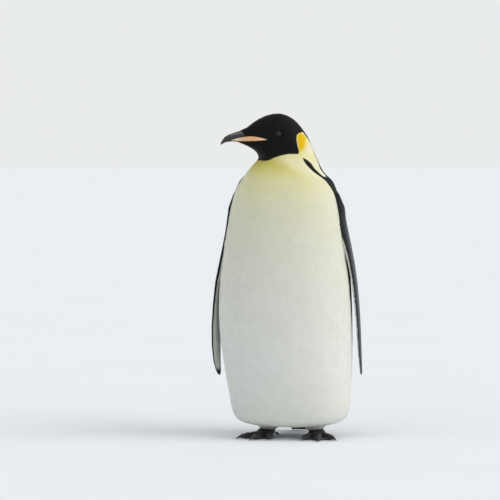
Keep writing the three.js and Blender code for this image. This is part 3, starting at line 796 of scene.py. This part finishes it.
# How far apart feathers grow. On the trunk they close up towards the neck, on the head towards bill and eyes,
# and on the flippers towards edges and tip.
TRUNK_SPACING, NECK_CLOSER, NECK_HEIGHTS = 3.15, 0.65, (700, 850)
FACE_SPACING, HEAD_WIDER, HEAD_FROM_BILL = 1.6, 1.0, (20, 130)
EYE_CLOSER = 0.42  # as a share
FLIPPER_SPACING, EDGE_CLOSER, TIP_CLOSER = 2.7, 1.0, 0.5
FLIPPER_EDGE, FLIPPER_TIP = (0.7, 1.0), (-400, -200)
LEG_SPACING, TAIL_SPACING = 2.6, 3.6
MARKING_CLOSER = 0.35  # the share by which they close up along the edges of markings
EDGE_CONTRAST = 0.05  # how much lighter or darker than its surroundings the skin is at such an edge
EDGE_ROUNDS, EDGE_GAIN = 12, 5  # how far from it the share still counts

# Which way feathers point. On the head they point away from a place ahead of the face, and sag towards the
# nape.
DOWN_BODY = np.array([0, 0.22, -1.0])
DOWN_FLIPPER = [0, 0.25, -1]
DOWN_TAIL = [0, 0.6, -1]
AHEAD_OF_FACE = (165, 935)  # forward, up
HEAD_LIES_BACK = (850, 905)  # heights
NAPE_SAG, SAGS_FROM = 0.45, (-60, 40)

# Length in spacings, by part, and the shares by which single feathers differ.
LONG = {"head": 4.4, "flipper_left": 3.4, "flipper_right": 3.4, "leg_left": 4.5, "leg_right": 4.5}
LONG_ELSEWHERE = 6.0
LENGTHS, HALVES, RISES = (0.88, 1.1), (0.74, 0.92), (0.9, 1.0)
EYE_SHORTER = 0.25
YAW = math.radians(5)  # how far one strays from its neighbours' direction
TONE_VARIES = (0.09, 0.075)  # by how much the tone of a dark one does, and how much less a pale one's

SEED = 41
THROWS = 4.5  # points tried for each feather that there is room for
SEEN_FROM = 0.72  # the part of a feather nearer its root than this is covered by others
THICK = 0.2  # a vane's thickness along its shaft
ROOTED = 0.4  # how deep a feather starts in the skin
ARCH = 0.12  # how far a vane bulges, as a share of its tip's rise
PATCH = 0.003  # each feather's patch on the baked map
COVERTS_ABOVE = 112  # the tail's quills have no small feathers over them below this height
OFF_PLATES = 0.9  # how far feathers stay off the bill's plates
FACE_FROM = 55  # how far forward a feather is near enough to the plates to ask
EYE_MARGIN = 0.5  # bare skin round an eye's opening
EYES_ABOVE = 900


def spacing_at(points, owner):
    """How far apart feathers grow, in millimetres."""
    up = points[:, 2] / MM
    apart = TRUNK_SPACING - NECK_CLOSER * smoothstep(up, *NECK_HEIGHTS)
    on = on_parts(owner, "head")
    apart[on] = ((FACE_SPACING + HEAD_WIDER * smoothstep(from_bill(points), *HEAD_FROM_BILL))
                 * (1 - EYE_CLOSER * near_eye(points)))[on]
    for side in SIDES:
        on = on_parts(owner, "flipper_" + side)
        off_middle = np.abs(chord_place(points[on], EDGES[side]) - 0.5) * 2
        apart[on] = (FLIPPER_SPACING - EDGE_CLOSER * smoothstep(off_middle, *FLIPPER_EDGE)
                     - TIP_CLOSER * smoothstep(-up[on], *FLIPPER_TIP))
    apart[on_parts(owner, "leg_left", "leg_right")] = LEG_SPACING
    apart[on_parts(owner, "tail")] = TAIL_SPACING
    return apart


def lie_at(points, normals, owner):
    """Which way feathers point: down the body, and back from the bill on the head."""
    forward, left, up = straightened(points)
    away = unit(np.stack([forward - AHEAD_OF_FACE[0], left, up - AHEAD_OF_FACE[1]], axis=1))
    x, y = rotated(away[:, 1], -away[:, 0], turned(up))
    back = np.stack([x, y, away[:, 2]], axis=1)
    back[:, 2] -= NAPE_SAG * smoothstep(-forward, *SAGS_FROM)
    field = mixed(DOWN_BODY, back, smoothstep(up, *HEAD_LIES_BACK) * on_parts(owner, "head"))
    field[on_parts(owner, "flipper_left", "flipper_right")] = DOWN_FLIPPER
    field[on_parts(owner, "tail")] = DOWN_TAIL
    return unit(field - normals * np.sum(field * normals, axis=1, keepdims=True))


def near_marking_edge():
    """1 where the skin's light and dark markings meet, falling to 0 away from there: feathers are finer
    there."""
    colours = np.empty(len(skin.data.vertices) * 4, dtype=np.float32)
    skin.data.color_attributes["plumage"].data.foreach_get("color", colours)
    light = colours.reshape(-1, 4)[:, :3].mean(axis=1).astype(float)
    jump = (np.abs(light - spread(skin.data, light, 3)) > EDGE_CONTRAST).astype(float)
    return np.clip(spread(skin.data, jump, EDGE_ROUNDS) * EDGE_GAIN, 0, 1)


def roots(rng):
    """Where feathers grow: points on the skin, no two closer than their spacing. Returns them with the skin's
    normals, the spacing in metres, and the part that each is on."""
    mesh = skin.data
    mesh.calc_loop_triangles()
    corners = np.empty(len(mesh.loop_triangles) * 3, dtype=np.int32)
    mesh.loop_triangles.foreach_get("vertices", corners)
    corners = corners.reshape(-1, 3)
    places, normals = vertex_arrays(mesh)
    normals = evened(skin, normals, skin_on_trunk)
    a, b, c = (places[corners[:, i]] for i in range(3))
    area = np.linalg.norm(np.cross(b - a, c - a), axis=1) / 2
    apart = spacing_at(places, skin_owner) * MM * (1 - MARKING_CLOSER * near_marking_edge())
    density = area / apart[corners].mean(axis=1) ** 2
    count = int(density.sum() * THROWS)
    chosen = rng.choice(len(corners), count, p=density / density.sum())
    u, v = rng.random(count), rng.random(count)
    flip = u + v > 1
    u[flip], v[flip] = 1 - u[flip], 1 - v[flip]
    share = np.stack([1 - u - v, u, v], axis=1)[:, :, None]
    picked = corners[chosen]
    points = (places[picked] * share).sum(axis=1)
    facing = unit((normals[picked] * share).sum(axis=1))
    spaced = (apart[picked] * share[:, :, 0]).sum(axis=1)
    tree = KDTree(count)
    for index, point in enumerate(points):
        tree.insert(point, index)
    tree.balance()
    alive = np.ones(count, dtype=bool)
    grown = []
    for index in range(count):
        if alive[index]:
            grown.append(index)
            for _, other, _ in tree.find_range(points[index], spaced[index]):
                alive[other] = False
    grown = np.array(grown)
    grown = grown[on_parts(skin_owner[picked[grown, 0]], *FLESH)]
    return points[grown], facing[grown], spaced[grown], skin_owner[picked[grown, 0]]


def vane(stations, halves):
    """A feather of unit length and half width: a flat tube of three sides, pinched at root and tip, whose
    ridge is the shaft. Returns its vertices, its faces, and which pairs of vertices are ends of an edge on
    its rim."""
    shape = bmesh.new()
    ring = bmesh.ops.create_circle(shape, segments=3, radius=1.0)["verts"]
    edges = list({edge for vert in ring for edge in vert.link_edges})
    rings = [ring]
    for _ in stations[1:]:
        grown = bmesh.ops.extrude_edge_only(shape, edges=edges)["geom"]
        edges = [item for item in grown if isinstance(item, bmesh.types.BMEdge)]
        rings.append([item for item in grown if isinstance(item, bmesh.types.BMVert)])
    for verts, along, half in zip(rings, stations, halves):
        across = sorted(verts, key=lambda vert: vert.co.x)
        for vert, side in zip(across, (-1, 0, 1)):
            vert.co = (side * half, along, 1.0 * (side == 0) * (half > 0))
    bmesh.ops.remove_doubles(shape, verts=shape.verts, dist=0.01)
    bmesh.ops.recalc_face_normals(shape, faces=shape.faces)
    shape.verts.ensure_lookup_table()
    points = np.array([vert.co[:] for vert in shape.verts])
    faces = [[vert.index for vert in face.verts] for face in shape.faces]
    shape.free()

    side = np.sign(np.round(points[:, 0], 3))
    end = (points[:, 1] == 0) | (points[:, 1] == 1)
    one_side = side[:, None] * side[None] > 0
    from_middle = (side[:, None] * side[None] == 0) & (side[:, None] + side[None] != 0)
    to_an_end = from_middle & (end[:, None] | end[None])
    rim = (points[:, None, 1] != points[None, :, 1]) & (one_side | to_an_end)
    return points, faces, rim


CONTOUR_VANE = vane((0.0, 0.45, 0.84, 1.0), (0.0, 1.0, 0.78, 0.0))
ROUND_VANE = vane((0.0, 0.42, 0.74, 0.93, 1.0), (0.0, 1.0, 0.9, 0.56, 0.0))
ROUND_TIPPED = ("coat_head", "coat_neck")  # the coats that are looked at closest


def joined(name, verts, shape, baked, colours):
    """One mesh of many copies of a vane, from the places of all their vertices, their places on the baked map
    and their colours. Each copy keeps a sharp rim, so that its face is shaded flat and its edge reads as an
    edge."""
    unit_vane, faces, rim = shape
    count, size = verts.shape[:2]
    corners = np.array([i for face in faces for i in face])
    loops = (corners[None] + np.arange(count)[:, None] * size).ravel()
    lengths = np.tile([len(face) for face in faces], count)
    starts = np.concatenate([[0], np.cumsum(lengths)[:-1]])
    mesh = bpy.data.meshes.new(name)
    mesh.vertices.add(count * size)
    mesh.vertices.foreach_set("co", verts.astype(np.float32).ravel())
    mesh.loops.add(len(loops))
    mesh.loops.foreach_set("vertex_index", loops.astype(np.int32))
    mesh.polygons.add(len(lengths))
    mesh.polygons.foreach_set("loop_start", starts.astype(np.int32))
    mesh.update(calc_edges=True)
    mesh.shade_smooth()
    ends = edge_ends(mesh) % size
    sharp = mesh.attributes.new("sharp_edge", "BOOLEAN", "EDGE")
    sharp.data.foreach_set("value", rim[ends[:, 0], ends[:, 1]])
    paint(mesh, colours)
    across = np.stack([0.5 + 0.5 * unit_vane[:, 0], unit_vane[:, 1]], axis=1)
    maps = {"OFBake": baked.reshape(-1, 2)[loops], "vane": np.tile(across[corners], (count, 1))}
    for layer, values in maps.items():
        mesh.uv_layers.new(name=layer).data.foreach_set("uv", values.astype(np.float32).ravel())
    return placed(name, mesh)


UNWRAP_LEVELS = 24  # heights at which a part's middle and half width are taken
SLOPE_SHARE = 0.08  # how much of its height a part's slope adds, which keeps level ground from folding flat


def unwrap(points, normals):
    """A cylinder's unwrap of a part of the skin, its ring of points at each height opened from behind."""
    up = points[:, 2]
    levels = np.linspace(up.min(), up.max(), UNWRAP_LEVELS)
    middle, half = [], []
    for level in levels:
        near = points[np.argsort(np.abs(up - level))[:max(len(points) // 16, 12)], :2]
        low, high = near.min(axis=0), near.max(axis=0)
        middle.append((low + high) / 2)
        half.append((high - low) / 2 + 1e-4)
    middle, half = np.array(middle), np.array(half)
    x, y = ((points[:, i] - np.interp(up, levels, middle[:, i])) / np.interp(up, levels, half[:, i])
            for i in range(2))
    u = np.arctan2(x, -y)
    v = up + SLOPE_SHARE * (levels[-1] - levels[0]) * normals[:, 2]
    return np.stack([0.01 + 0.98 * (w - w.min()) / (w.max() - w.min()) for w in (u, v)], axis=1)


def in_the_clear(points, along, length, seen, owner):
    """Which feathers keep off the openings of the eyes, the plates of the bill and the quills of the tail."""
    forward, _, up = straightened(points)
    on_head = on_parts(owner, "head")
    clear = ~on_parts(owner, "tail") | (up > COVERTS_ABOVE)
    for share in (0, 0.4, 0.8, 1.0):
        spots = points + along * (length * share * MM)[:, None]
        clear &= (from_eye(spots, EYE_MARGIN) > 1) | ~on_head | (up < EYES_ABOVE)
    plates = [surface(name) for name in ("bill_plate_left", "bill_plate_right")]
    for index in np.nonzero(on_head & (forward > FACE_FROM))[0]:
        for spot in (points[index], seen[index], (points[index] + seen[index]) / 2):
            if any(plate.find_nearest(Vector(spot))[3] < OFF_PLATES * MM for plate in plates):
                clear[index] = False
    return clear


def grown_feathers():
    """The whole coat, as columns with a row for each feather: its root, the skin's normal there, which way it
    lies, its length and half width, how far its tip stands off the skin, its part, and its own tone."""
    rng = np.random.default_rng(SEED)
    points, normals, spaced, owner = roots(rng)
    along = lie_at(points, normals, owner)
    yaw = rng.normal(0, YAW, len(points))[:, None]
    along = unit(along * np.cos(yaw) + np.cross(normals, along) * np.sin(yaw))
    longer = np.full(len(points), LONG_ELSEWHERE)
    for name, spacings in LONG.items():
        longer[on_parts(owner, name)] = spacings
    length = spaced / MM * longer * rng.uniform(*LENGTHS, len(points))
    length *= 1 - EYE_SHORTER * near_eye(points) * on_parts(owner, "head")
    half = spaced / MM * rng.uniform(*HALVES, len(points))
    rise = coat_depth(points, owner) * rng.uniform(*RISES, len(points))
    seen = points + along * (length * 0.8 * MM)[:, None]
    brightness = smoothstep(colours_at(seen, normals, owner)[:, 1], 0.02, 0.5)
    tone = 1 + rng.uniform(-1, 1, len(points)) * (TONE_VARIES[0] - TONE_VARIES[1] * brightness)
    clear = in_the_clear(points, along, length, seen, owner)
    columns = {"points": points, "normals": normals, "along": along, "length": length, "half": half,
               "rise": rise, "owner": owner, "tone": tone}
    return {name: column[clear] for name, column in columns.items()}


def coat(name, points, normals, along, length, half, rise, owner, tone):
    """One mesh of many vanes, rooted in the skin at these points and lying that way."""
    shape = ROUND_VANE if name in ROUND_TIPPED else CONTOUR_VANE
    x, y, z = shape[0].T
    side = np.cross(along, normals)[:, None]
    reach = along[:, None] * (length * MM)[:, None, None]
    wide = side * (half * MM)[:, None, None] * x[None, :, None]
    tips = np.empty_like(points)
    for index, tip in enumerate(points + reach[:, 0]):
        spot, facing, _, _ = skin_tree.find_nearest(Vector(tip))
        tips[index] = spot + facing * (rise[index] * MM)
    start = points - normals * (ROOTED * MM)
    arch = (np.sin(math.pi * y) * ARCH)[None, :, None] * (rise * MM)[:, None, None] * normals[:, None]
    verts = start[:, None] + (tips - start)[:, None] * y[None, :, None] + arch + wide
    verts += normals[:, None] * (THICK * MM * z)[None, :, None]
    verts[:, :, 2] = np.maximum(verts[:, :, 2], 0)

    where = points[:, None] + reach * np.maximum(y, SEEN_FROM)[None, :, None] + wide
    size = len(x)
    colours = colours_at(where.reshape(-1, 3), np.repeat(normals, size, axis=0), np.repeat(owner, size))
    patches = np.stack([x * 0.5, y - 0.5], axis=1) * PATCH
    return joined(name, verts, shape, unwrap(points, normals)[:, None] + patches[None],
                  colours * np.repeat(tone, size)[:, None])


contour = feathers("satin_contour_feathers", 0.55, 1.02, 22.0)
scale_like = feathers("scale_like_flipper_feathers", 0.5, 1.12, 16.0)
SLOTS = {"head": "black_feathers", "tail": "black_feathers", "neck": "cream_feathers",
         "breast": "cream_feathers", "belly": "white_feathers", "leg_left": "white_feathers",
         "leg_right": "white_feathers", "back": "grey_feathers", "rump": "grey_feathers",
         "flipper_left": "grey_feathers", "flipper_right": "grey_feathers"}
HALVED = ("belly", "back", "rump", "breast")  # parts whose coat is two pieces, to keep each piece light

grown = grown_feathers()
_, grown_left, _ = straightened(grown["points"])
for part in FLESH:
    on = on_parts(grown["owner"], part)
    halves = {"": on}
    if part in HALVED:
        halves = {"_left": on & (grown_left >= 0), "_right": on & (grown_left < 0)}
    for end, rows in halves.items():
        piece = coat("coat_" + part + end, **{name: column[rows] for name, column in grown.items()})
        piece.data.materials.append(scale_like if part.startswith("flipper") else contour)
        kept(piece, SLOTS[part])


# ---- Quills of the tail


QUILLS = 18
QUILL_THICK = 0.6
QUILL_VANE = vane((0.0, 0.02, 0.3, 0.6, 0.8, 0.93, 1.0), (0.0, 0.9, 1.0, 1.0, 0.85, 0.5, 0.0))
QUILL_STEPS = 12  # places along a quill where the tail's surface is found
QUILL_ROOT, QUILL_TIP = 0.14, 0.985  # where quills start and end, as shares of the tail's length
OUTER_SHORTER = 0.09  # the share that the outermost ones lack
MIDDLE_LIFT, QUILL_LIFT = 1.3, 0.4  # how much higher the middle ones lie, and how high the outermost
BURIED, BURIED_OVER = 5.5, 0.17  # how deep their roots lie, and over what share of the tail they rise
OVERLAP = 1.3  # a quill's half width, as a multiple of its half share of the fan
FAN = 0.97  # how much of the tail's width the fan's middle lines take
SQUARED = 0.6  # how far a quill is turned from the tail's own surface to face straight out
QUILL_LOWEST = 0.5
# The tail's form, by share of its length.
TAIL_SHARES = (0, 0.32, 0.66, 0.88, 1)
TAIL_FORWARD = (-88, -128, -160, -185, -203)
TAIL_UP = (172, 120, 72, 32, 1)
TAIL_HALF = (66, 71, 63, 50, 36)
TAIL_OUT = Vector((0, 0.85, 0.53))  # square to its back


def tail_quills(name, behind):
    """The stiff feathers of the tail: long pointed vanes side by side over its back, or over its underside,
    the middle ones on top and the outer ones shorter."""
    tree = surface("tail")
    out = TAIL_OUT * (1 if behind else -1)
    x, y, z = QUILL_VANE[0].T
    evenly = np.linspace(0, 1, QUILL_STEPS)
    verts = []
    for fan in 2 * (np.arange(QUILLS) + 0.5) / QUILLS - 1:
        shares = np.linspace(QUILL_ROOT, QUILL_TIP - OUTER_SHORTER * fan ** 2, QUILL_STEPS)
        lift = (QUILL_LIFT + MIDDLE_LIFT * (1 - abs(fan))
                - BURIED * (1 - smoothstep(shares, QUILL_ROOT, QUILL_ROOT + BURIED_OVER)))
        wide = OVERLAP * np.interp(shares, TAIL_SHARES, TAIL_HALF) / QUILLS
        spots, facings = [], []
        for share, raised in zip(shares, lift):
            aside, forward, up = (np.interp(share, TAIL_SHARES, table)
                                  for table in (TAIL_HALF, TAIL_FORWARD, TAIL_UP))
            place = Vector((SWAY + fan * FAN * aside, AXIS_Y - forward, up)) * MM
            spot, facing, _, _ = tree.ray_cast(place + out * 0.1, -out)
            if spot is None:
                spot, facing, _, _ = tree.find_nearest(place + out * 0.02)
            spots.append(spot + out * (raised * MM))
            facings.append(facing.lerp(out, SQUARED).normalized())
        spots, facings = np.array(spots), np.array(facings)
        middle, facing, ahead, wide = (
            np.stack([np.interp(y, evenly, column) for column in table.T], axis=1)
            for table in (spots, facings, np.gradient(spots, axis=0), wide[:, None]))
        side = unit(np.cross(ahead, facing))
        verts.append(middle + (side * wide * x[:, None] + facing * QUILL_THICK * z[:, None]) * MM)
    verts = np.array(verts)
    verts[:, :, 2] = np.maximum(verts[:, :, 2], QUILL_LOWEST * MM)
    strip = np.stack([0.1 + 0.8 * (0.5 + 0.5 * x), 0.02 + 0.96 * y], axis=1)
    baked = (strip[None] + [[[quill, 0]] for quill in range(QUILLS)]) * [1 / QUILLS, 1]
    piece = joined(name, verts, QUILL_VANE, baked, tail_colours(verts.reshape(-1, 3)))
    piece.data.materials.append(contour)
    kept(piece, "black_feathers")


tail_quills("tail_quills_back", behind=True)
tail_quills("tail_quills_under", behind=False)


# ---- Eyes and lids


CORNEA, CORNEA_SLOPE, CORNEA_BULGE = 6.0, 4.5, 0.5  # its radius, how far in it still rises, and its height
BEHIND_BALL = 100  # added to the distance from the eye's axis, so that no iris shows on the ball's back
LID_RINGS = ((1.0, 0.8, 0.35), (1.17, 0.6, 0.1), (1.33, 0.5, 0.0))  # size, thickness, and height off the skin
LID_RING_AT = 10  # the rings' radius before they are drawn to the eye's opening
CORNER_DRAWN = 1.3  # how far the lids' corners are drawn out
UPPER_HEAVIER = 0.3


def eye_frame(side):
    """A matrix from an eye's own axes, Z out of the head and Y up, to the scene."""
    sign = SIDES[side]
    centre = posed(EYE_PLACE[0], sign * EYE_OUT, EYE_PLACE[1])
    out = (posed(EYE_PLACE[0] + 6, sign * (EYE_OUT + 30), EYE_PLACE[1]) - centre).normalized()
    across = Vector((0, 0, 1)).cross(out).normalized()
    return Matrix.Translation(centre) @ Matrix((across, out.cross(across), out)).transposed().to_4x4()


def eye(side):
    """The eyeball: a sphere with the cornea's bulge over the iris."""
    shape = bmesh.new()
    bmesh.ops.create_uvsphere(shape, u_segments=40, v_segments=28, radius=EYE_RADIUS * MM)
    off_axis = []
    for vert in shape.verts:
        aside = math.hypot(vert.co.x, vert.co.y) / MM
        off_axis.append(aside + BEHIND_BALL * (vert.co.z < 0))
        if vert.co.z > 0:
            vert.co.z += CORNEA_BULGE * MM * float(smoothstep(CORNEA - aside, 0, CORNEA_SLOPE))
    bmesh.ops.transform(shape, matrix=eye_frame(side), verts=shape.verts)
    made = placed("eyeball_" + side, shape)
    made.data.attributes.new("off_axis", "FLOAT", "POINT").data.foreach_set("value", off_axis)
    made.data.shade_smooth()
    return made


def lids(side):
    """The bare rim of both lids: a rounded ring on the ball, oval, drawn to a corner in front and behind, the
    upper lid heavier, with two folds of skin behind it that lie on the skin of the head."""
    shape = bmesh.new()
    to_scene = eye_frame(side)
    to_eye = to_scene.inverted()
    inward = (to_scene.to_3x3() @ Vector((0, 0, -1))).normalized()
    for grow, thick, lift in LID_RINGS:
        ring = bmesh.ops.create_circle(shape, segments=8, radius=thick * MM)["verts"]
        bmesh.ops.rotate(shape, verts=ring, matrix=Matrix.Rotation(math.pi / 2, 3, "X"))
        bmesh.ops.translate(shape, verts=ring, vec=(LID_RING_AT * MM, 0, 0))
        edges = list({edge for vert in ring for edge in vert.link_edges})
        bmesh.ops.spin(shape, geom=ring + edges, axis=(0, 0, 1), cent=(0, 0, 0), angle=2 * math.pi, steps=48,
                       use_merge=True, use_duplicate=False)
        new = {vert for vert in shape.verts if not vert.tag}
        for vert in new:
            vert.tag = True
            angle = math.atan2(vert.co.y, vert.co.x)
            aside = math.hypot(vert.co.x, vert.co.y) / MM - LID_RING_AT
            corner = abs(math.cos(angle)) ** 6
            wide = (EYE_OPENING[0] + CORNER_DRAWN * corner) * grow * math.cos(angle)
            tall = EYE_OPENING[1] * grow * math.sin(angle)
            ball = math.sqrt(max(EYE_RADIUS ** 2 - wide ** 2 - tall ** 2, 0.0))
            above = to_scene @ (Vector((wide, tall, 25)) * MM)
            spot = skin_tree.ray_cast(above, inward)[0]
            level = max(ball, (to_eye @ spot).z / MM if spot else 0.0)
            heavier = UPPER_HEAVIER if math.sin(angle) > 0 else 0.0
            thinned = aside * (1 - 0.5 * corner)
            vert.co = Vector((wide + math.cos(angle) * thinned, tall + math.sin(angle) * thinned,
                              vert.co.z / MM + level + lift + heavier)) * MM
    bmesh.ops.remove_doubles(shape, verts=shape.verts, dist=0.005 * MM)
    bmesh.ops.recalc_face_normals(shape, faces=shape.faces)
    bmesh.ops.transform(shape, matrix=to_scene, verts=shape.verts)
    made = placed("lids_" + side, shape)
    made.data.shade_smooth()
    return made


ball_finish, lid_finish = wet_eye(), lid_skin()
for side in SIDES:
    piece = eye(side)
    piece.data.materials.append(ball_finish)
    kept(piece, "eye", "eye_" + side)
    piece = lids(side)
    piece.data.materials.append(lid_finish)
    kept(piece, "black_feathers")


# ---- Bill


FEATHER_LINE = ([915, 926, 950], [149, 124, 144])  # where the bill leaves the feathers, as forward by height
MARGIN_SUNK, MARGIN_WIDTH = 0.9, (0.5, 4)  # how far its margin lies under them, and how soon it rises
NOSTRIL_GROOVE = ([120, 144, 165, 185], [936, 939, 934, 925])  # its height by forward
GROOVE_STARTS, GROOVE_ENDS = (116, 132), (-184, -160)
GROOVE_DEPTH, GROOVE_WIDTH = 1.3, 1.2
RIDGE_HEIGHT, RIDGE_WIDTH, RIDGE_ABOVE = 0.3, 1.8, 3.6  # the ridge above the groove, and how far above
ON_A_SIDE = 0.8  # faces that look further up or down than this have no groove

# Tones of the bill by distance forward; the upper bill's by height above the groove, away from it and along
# it.
PLATE_TONES = ((66, "ecd2c2"), (72, "e9bf9f"), (80, "ecc09e"), (95, "e5ac7e"), (108, "e2a877"),
               (124, "e0aa7e"), (140, "daae8a"), (154, "e2c6a8"), (168, "d0b89c"), (178, "b09c86"))
LOWER_BILL_TONES = ((120, "242325"), (175, "2b2a2c"), (185, "343335"))
UPPER_BILL_TONES = ((-6, "262527"), (0, "232225"), (8, "2d2f34"), (14, "292b30"))
# Along the groove: darkest in the groove itself as painted shade, and paler on the ridge above it as a
# painted sheen.
SHEEN_RIDGE_SHADED_GROOVE_TONES = ((-5, "1f1e20"), (0, "19181a"), (1.6, "474543"), (3.6, "6b6762"), (5.8, "46474b"),
                    (9, "30323a"), (14, "2a2c31"))


def horny(name, node_name, voxel, finish, slot, smooth=4, change=None, tones=None):
    """A piece of horn, from its node: rounded, moved by change and painted by tones, both over the straight
    bird."""
    made = finished(name, welded(node_name), ("REMESH", {"mode": "VOXEL", "voxel_size": voxel * MM}),
                    ("SMOOTH", {"factor": 0.5, "iterations": smooth}))
    if change:
        places, normals = vertex_arrays(made.data)
        forward, _, up = straightened(places)
        move_to(made.data, places + normals * (change(forward, up, normals) * MM)[:, None])
    if tones:
        forward, _, up = straightened(vertex_arrays(made.data)[0])
        paint(made.data, tones(forward, up), "tone")
    made.data.materials.append(finish)
    kept(made, slot, node_name)


def in_groove(forward):
    """1 along the groove of the nostril, 0 before and behind it."""
    return smoothstep(forward, *GROOVE_STARTS) * smoothstep(-forward, *GROOVE_ENDS)


def sunk_margin(forward, up, normals):
    """How far out the bill lies at its margin: under the feathers that overlap it."""
    return -MARGIN_SUNK * (1 - smoothstep(forward - np.interp(up, *FEATHER_LINE), *MARGIN_WIDTH))


def upper_bill_form(forward, up, normals):
    """The same, with the long groove of the nostril, low on the side, and a rounded ridge above it."""
    line = np.interp(forward, *NOSTRIL_GROOVE)
    groove = bell(up, line, GROOVE_WIDTH) * (np.abs(normals[:, 2]) < ON_A_SIDE)
    ridge = bell(up, line + RIDGE_ABOVE, RIDGE_WIDTH)
    carved = (ridge * RIDGE_HEIGHT - groove * GROOVE_DEPTH) * in_groove(forward)
    return carved + sunk_margin(forward, up, normals)


def upper_bill_tones(forward, up):
    """Nearly black, darkest in the nostril's groove as painted shade, and paler on the ridge above it as a
    painted sheen.
    """
    above = up - np.interp(forward, *NOSTRIL_GROOVE)
    return mixed(ramp(above, UPPER_BILL_TONES), ramp(above, SHEEN_RIDGE_SHADED_GROOVE_TONES), in_groove(forward))


def lower_bill_tones(forward, up):
    return ramp(forward, LOWER_BILL_TONES)


def plate_tones(forward, up):
    """Peach at the gape, paler and duller towards the tip."""
    return ramp(forward, PLATE_TONES)


black_horn = horn("black_horn", 0.34, 1.4, turn=HEAD_TURN)
plate_horn = horn("orange_horn", 0.38, 1.0, turn=HEAD_TURN)
horny("bill_upper", "upper_bill", 0.9, black_horn, "dark_horn", change=upper_bill_form,
      tones=upper_bill_tones)
horny("bill_lower", "lower_bill", 0.9, black_horn, "dark_horn", change=sunk_margin, tones=lower_bill_tones)
for side in SIDES:
    horny("mandible_plate_" + side, "bill_plate_" + side, 0.5, plate_horn, "orange_horn", smooth=2,
          tones=plate_tones)


# ---- Feet and claws


TOES = ("inner", "middle", "outer", "hind")
SCALE_SIZE = 4.2
SCALE_HEIGHT = 0.5
SCALE_STEEP = 2.2  # how steeply a scale rises from the crease round it
SOLE = (1, 4)  # heights over which the scales start, above a flat sole


def foot(side):
    """A foot: thick toes and web, roughened by small rounded scales."""
    name = "foot_" + side
    made = finished("scaled_foot_" + side, welded(name),
                    ("REMESH", {"mode": "VOXEL", "voxel_size": 1.5 * MM}),
                    ("SMOOTH", {"factor": 0.5, "iterations": 5}))
    places, normals = vertex_arrays(made.data)
    scale = np.empty(len(places))
    for index, place in enumerate(places):
        distance, _ = noise.voronoi(Vector(place) / (SCALE_SIZE * MM))
        scale[index] = min((distance[1] - distance[0]) * SCALE_STEEP, 1)
    lift = scale * SCALE_HEIGHT * smoothstep(places[:, 2] / MM, *SOLE)
    places += normals * (lift * MM)[:, None]
    places[:, 2] = np.maximum(places[:, 2], 0)
    move_to(made.data, places)
    return kept(made, "foot_skin", name)


foot_finish = scaled_skin()
claw_finish = horn("claw_horn", 0.4, 1.1, tones=("17161a", "37332f"))
for side in SIDES:
    foot(side).data.materials.append(foot_finish)
    for toe in TOES:
        horny(f"horn_{toe}_{side}", f"claw_{toe}_{side}", 0.7, claw_finish, "claw_horn", smooth=2)


# ---- Floor, light and camera


FLOOR_RADIUS = 60  # metres, as are the places below
SUN_PLACE, SUN_WIDTH, SUN_STRENGTH, SUN_TONE = Vector((5.35, -1.3, 3.6)), math.radians(50), 1.52, "fffaf2"
SKY_TONE, SKY_STRENGTH = "d6d8d8", 1.22
CAMERA_PLACE = Vector((1.4529, -8.8902, 0.9579))
CAMERA_TARGET = Vector((-0.1099, -0.0269, 0.5797))
CAMERA_ANGLE = math.radians(9.835)
SENSOR_WIDTH = 36


def stage_floor():
    """Matt pale floor, far wider than the view."""
    shape = bmesh.new()
    bmesh.ops.create_circle(shape, segments=96, radius=FLOOR_RADIUS, cap_ends=True)
    made = placed("floor", shape)
    finish, tree = material("pale_matt_floor")
    place = node(tree, "TexCoord").outputs["Object"]
    grain = node(tree, "TexNoise", {"Vector": place, "Scale": 2.0, "Detail": 3.0}).outputs["Fac"]
    tone = node(tree, "Mix", {"Factor": grain, 6: rgba("dfe3e9"), 7: rgba("e3e7ec")},
                data_type="RGBA").outputs[2]
    shader = node(tree, "BsdfPrincipled", {"Base Color": tone, "Roughness": 0.9}).outputs[0]
    node(tree, "OutputMaterial", {"Surface": shader})
    made.data.materials.append(finish)


def aimed(name, data, place, target):
    """A light or camera at this place, aimed at the target."""
    made = bpy.data.objects.new(name, data)
    bpy.context.scene.collection.objects.link(made)
    made.location = place
    made.rotation_euler = (target - place).to_track_quat("-Z", "Y").to_euler()
    return made


def stage_light():
    """A broad, far light, as even as a studio's big soft box, and a soft sky all round."""
    sun = bpy.data.lights.new("key", "SUN")
    sun.angle = SUN_WIDTH
    sun.energy = SUN_STRENGTH
    sun.color = tuple(linear(SUN_TONE))
    aimed("key", sun, SUN_PLACE, Vector())
    world = bpy.data.worlds.new("soft_sky")
    world.use_nodes = True
    sky = world.node_tree.nodes["Background"].inputs
    sky["Color"].default_value = rgba(SKY_TONE)
    sky["Strength"].default_value = SKY_STRENGTH
    bpy.context.scene.world = world
    bpy.context.scene.view_settings.view_transform = "Standard"


def stage_camera():
    lens = bpy.data.cameras.new("camera")
    lens.sensor_width = SENSOR_WIDTH
    lens.lens = SENSOR_WIDTH / 2 / math.tan(CAMERA_ANGLE / 2)
    bpy.context.scene.camera = aimed("camera", lens, CAMERA_PLACE, CAMERA_TARGET)


stage_floor()
stage_light()
stage_camera()
